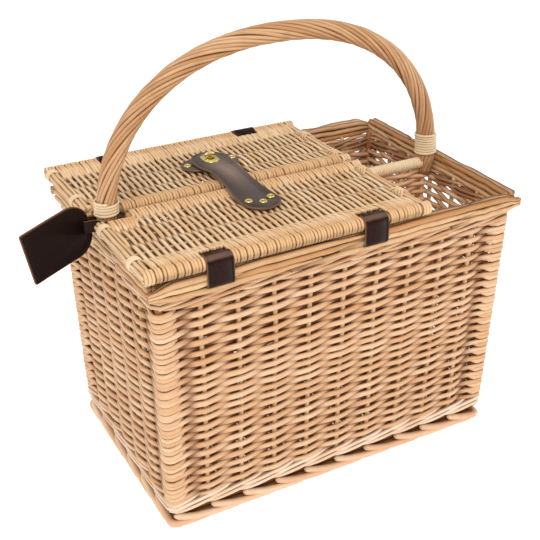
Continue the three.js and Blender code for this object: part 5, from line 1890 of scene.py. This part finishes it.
@dataclass
class Studio:
    """Pale floor, soft studio light and the camera of the photograph."""

    azimuth: float = -28.51
    elevation: float = 27.99
    roll: float = -0.49
    distance: float = 1.1916
    target: tuple[float, float, float] = (-0.01608, 0.0, 0.21359)
    lens: float = 65.63
    sensor: float = 36.0
    key: tuple[tuple[float, float, float], float, float] = ((-1.4, -2.0, 2.6), 1.8, 46.0)
    fill: tuple[tuple[float, float, float], float, float] = ((2.2, -1.4, 1.6), 2.2, 12.0)
    lit_point: tuple[float, float, float] = (0.0, 0.0, 0.2)
    zenith: float = 0.86
    horizon: float = 0.32
    floor_half: float = 6.0
    floor_level: float = -0.0005
    floor_glow: float = 0.34

    def aim(self, thing: bpy.types.Object, right: np.ndarray, back: np.ndarray, place: np.ndarray) -> None:
        """Places a camera or lamp that looks against its back direction, and links it.

        Args:
            thing: object to place.
            right: its direction to the right.
            back: the direction behind it.
            place: its place in metres.
        """
        matrix = np.eye(4)
        matrix[:3] = np.stack([right, np.cross(back, right), back, place], axis=-1)
        thing.matrix_world = matrix.T.tolist()
        link(thing)

    def camera(self) -> None:
        """Places the camera: its right, up and back directions from the angles fitted to the photograph."""
        a, e, r = (math.radians(value) for value in (self.azimuth, self.elevation, self.roll))
        back = np.array([math.sin(a) * math.cos(e), -math.cos(a) * math.cos(e), math.sin(e)])
        level = np.array([math.cos(a), math.sin(a), 0.0])
        right = math.cos(r) * level + math.sin(r) * np.cross(back, level)
        data = bpy.data.cameras.new("camera")
        data.lens = self.lens
        data.sensor_width = self.sensor
        data.clip_start = 0.05
        camera = bpy.data.objects.new("camera", data)
        self.aim(camera, right, back, np.array(self.target) + self.distance * back)
        bpy.context.scene.camera = camera

    def lamp(self, name: str, place: tuple[float, float, float], size: float, power: float) -> None:
        """Adds a square lamp that faces the hamper.

        Args:
            name: the lamp's name.
            place: its place in metres.
            size: its side in metres.
            power: its power in watts.
        """
        data = bpy.data.lights.new(name, "AREA")
        data.size = size
        data.energy = power
        back = unit(np.array(place) - np.array(self.lit_point))
        self.aim(bpy.data.objects.new(name, data), unit(np.cross(UP, back)), back, np.array(place))

    def world(self) -> None:
        """Sets a white sky that is brightest overhead, like a wide soft box, and dims to the horizon."""
        world = bpy.data.worlds.new("studio")
        world.use_nodes = True
        tree = world.node_tree
        way = add_node(tree, "TexCoord", {}).outputs["Generated"]
        height = add_node(tree, "SeparateXYZ", {0: way}).outputs["Z"]
        strength = add_node(tree, "MapRange", {0: height, 1: 0.0, 2: 0.8, 3: self.horizon, 4: self.zenith})
        feed(tree, tree.nodes["Background"], {"Color": linear("#FFFFFF"), "Strength": strength.outputs[0]})
        bpy.context.scene.world = world

    def floor(self) -> None:
        """Lays a wide pale floor that keeps the hamper's shadow and looks white away from it."""
        mesh = bpy.data.meshes.new("floor")
        signs = ((-1.0, -1.0), (1.0, -1.0), (1.0, 1.0), (-1.0, 1.0))
        corners = [(x * self.floor_half, y * self.floor_half, self.floor_level) for x, y in signs]
        mesh.from_pydata(corners, [], [(0, 1, 2, 3)])
        mesh.materials.append(Surface("studio_paper").finished({
            "Base Color": linear("#FAFAFA"),
            "Roughness": 0.9,
            "Emission Color": linear("#FFFFFF"),
            "Emission Strength": self.floor_glow,
        }))
        link(bpy.data.objects.new("floor", mesh))

    def build(self) -> None:
        """Sets up the camera, lamps, sky and floor."""
        self.camera()
        self.lamp("key", *self.key)
        self.lamp("fill", *self.fill)
        self.world()
        self.floor()


def main() -> None:
    """Builds every sub-assembly in order."""
    logging.basicConfig(level=logging.INFO, format="%(name)s %(message)s")
    bpy.context.scene.view_settings.view_transform = "Standard"
    Studio().build()
    for plan in PLANS:
        WallWeave(plan).build()
        FootBorder(plan).build()
    for plan in PLANS:
        RimBorder(plan).build()
    CornerPosts().build()
    BasePanel().build()
    Partitions().build()
    LidWeave("front", -1.0, Body.FRONT_LID, 81, (117.0, 34.0)).build()
    LidWeave("rear", 1.0, Body.REAR_LID, 82, (137.0, 54.0)).build()
    HingeLoops().build()
    CarryingBow().build()
    Clasp().build()
    LuggageTag().build()


if __name__ == "__main__":
    main()
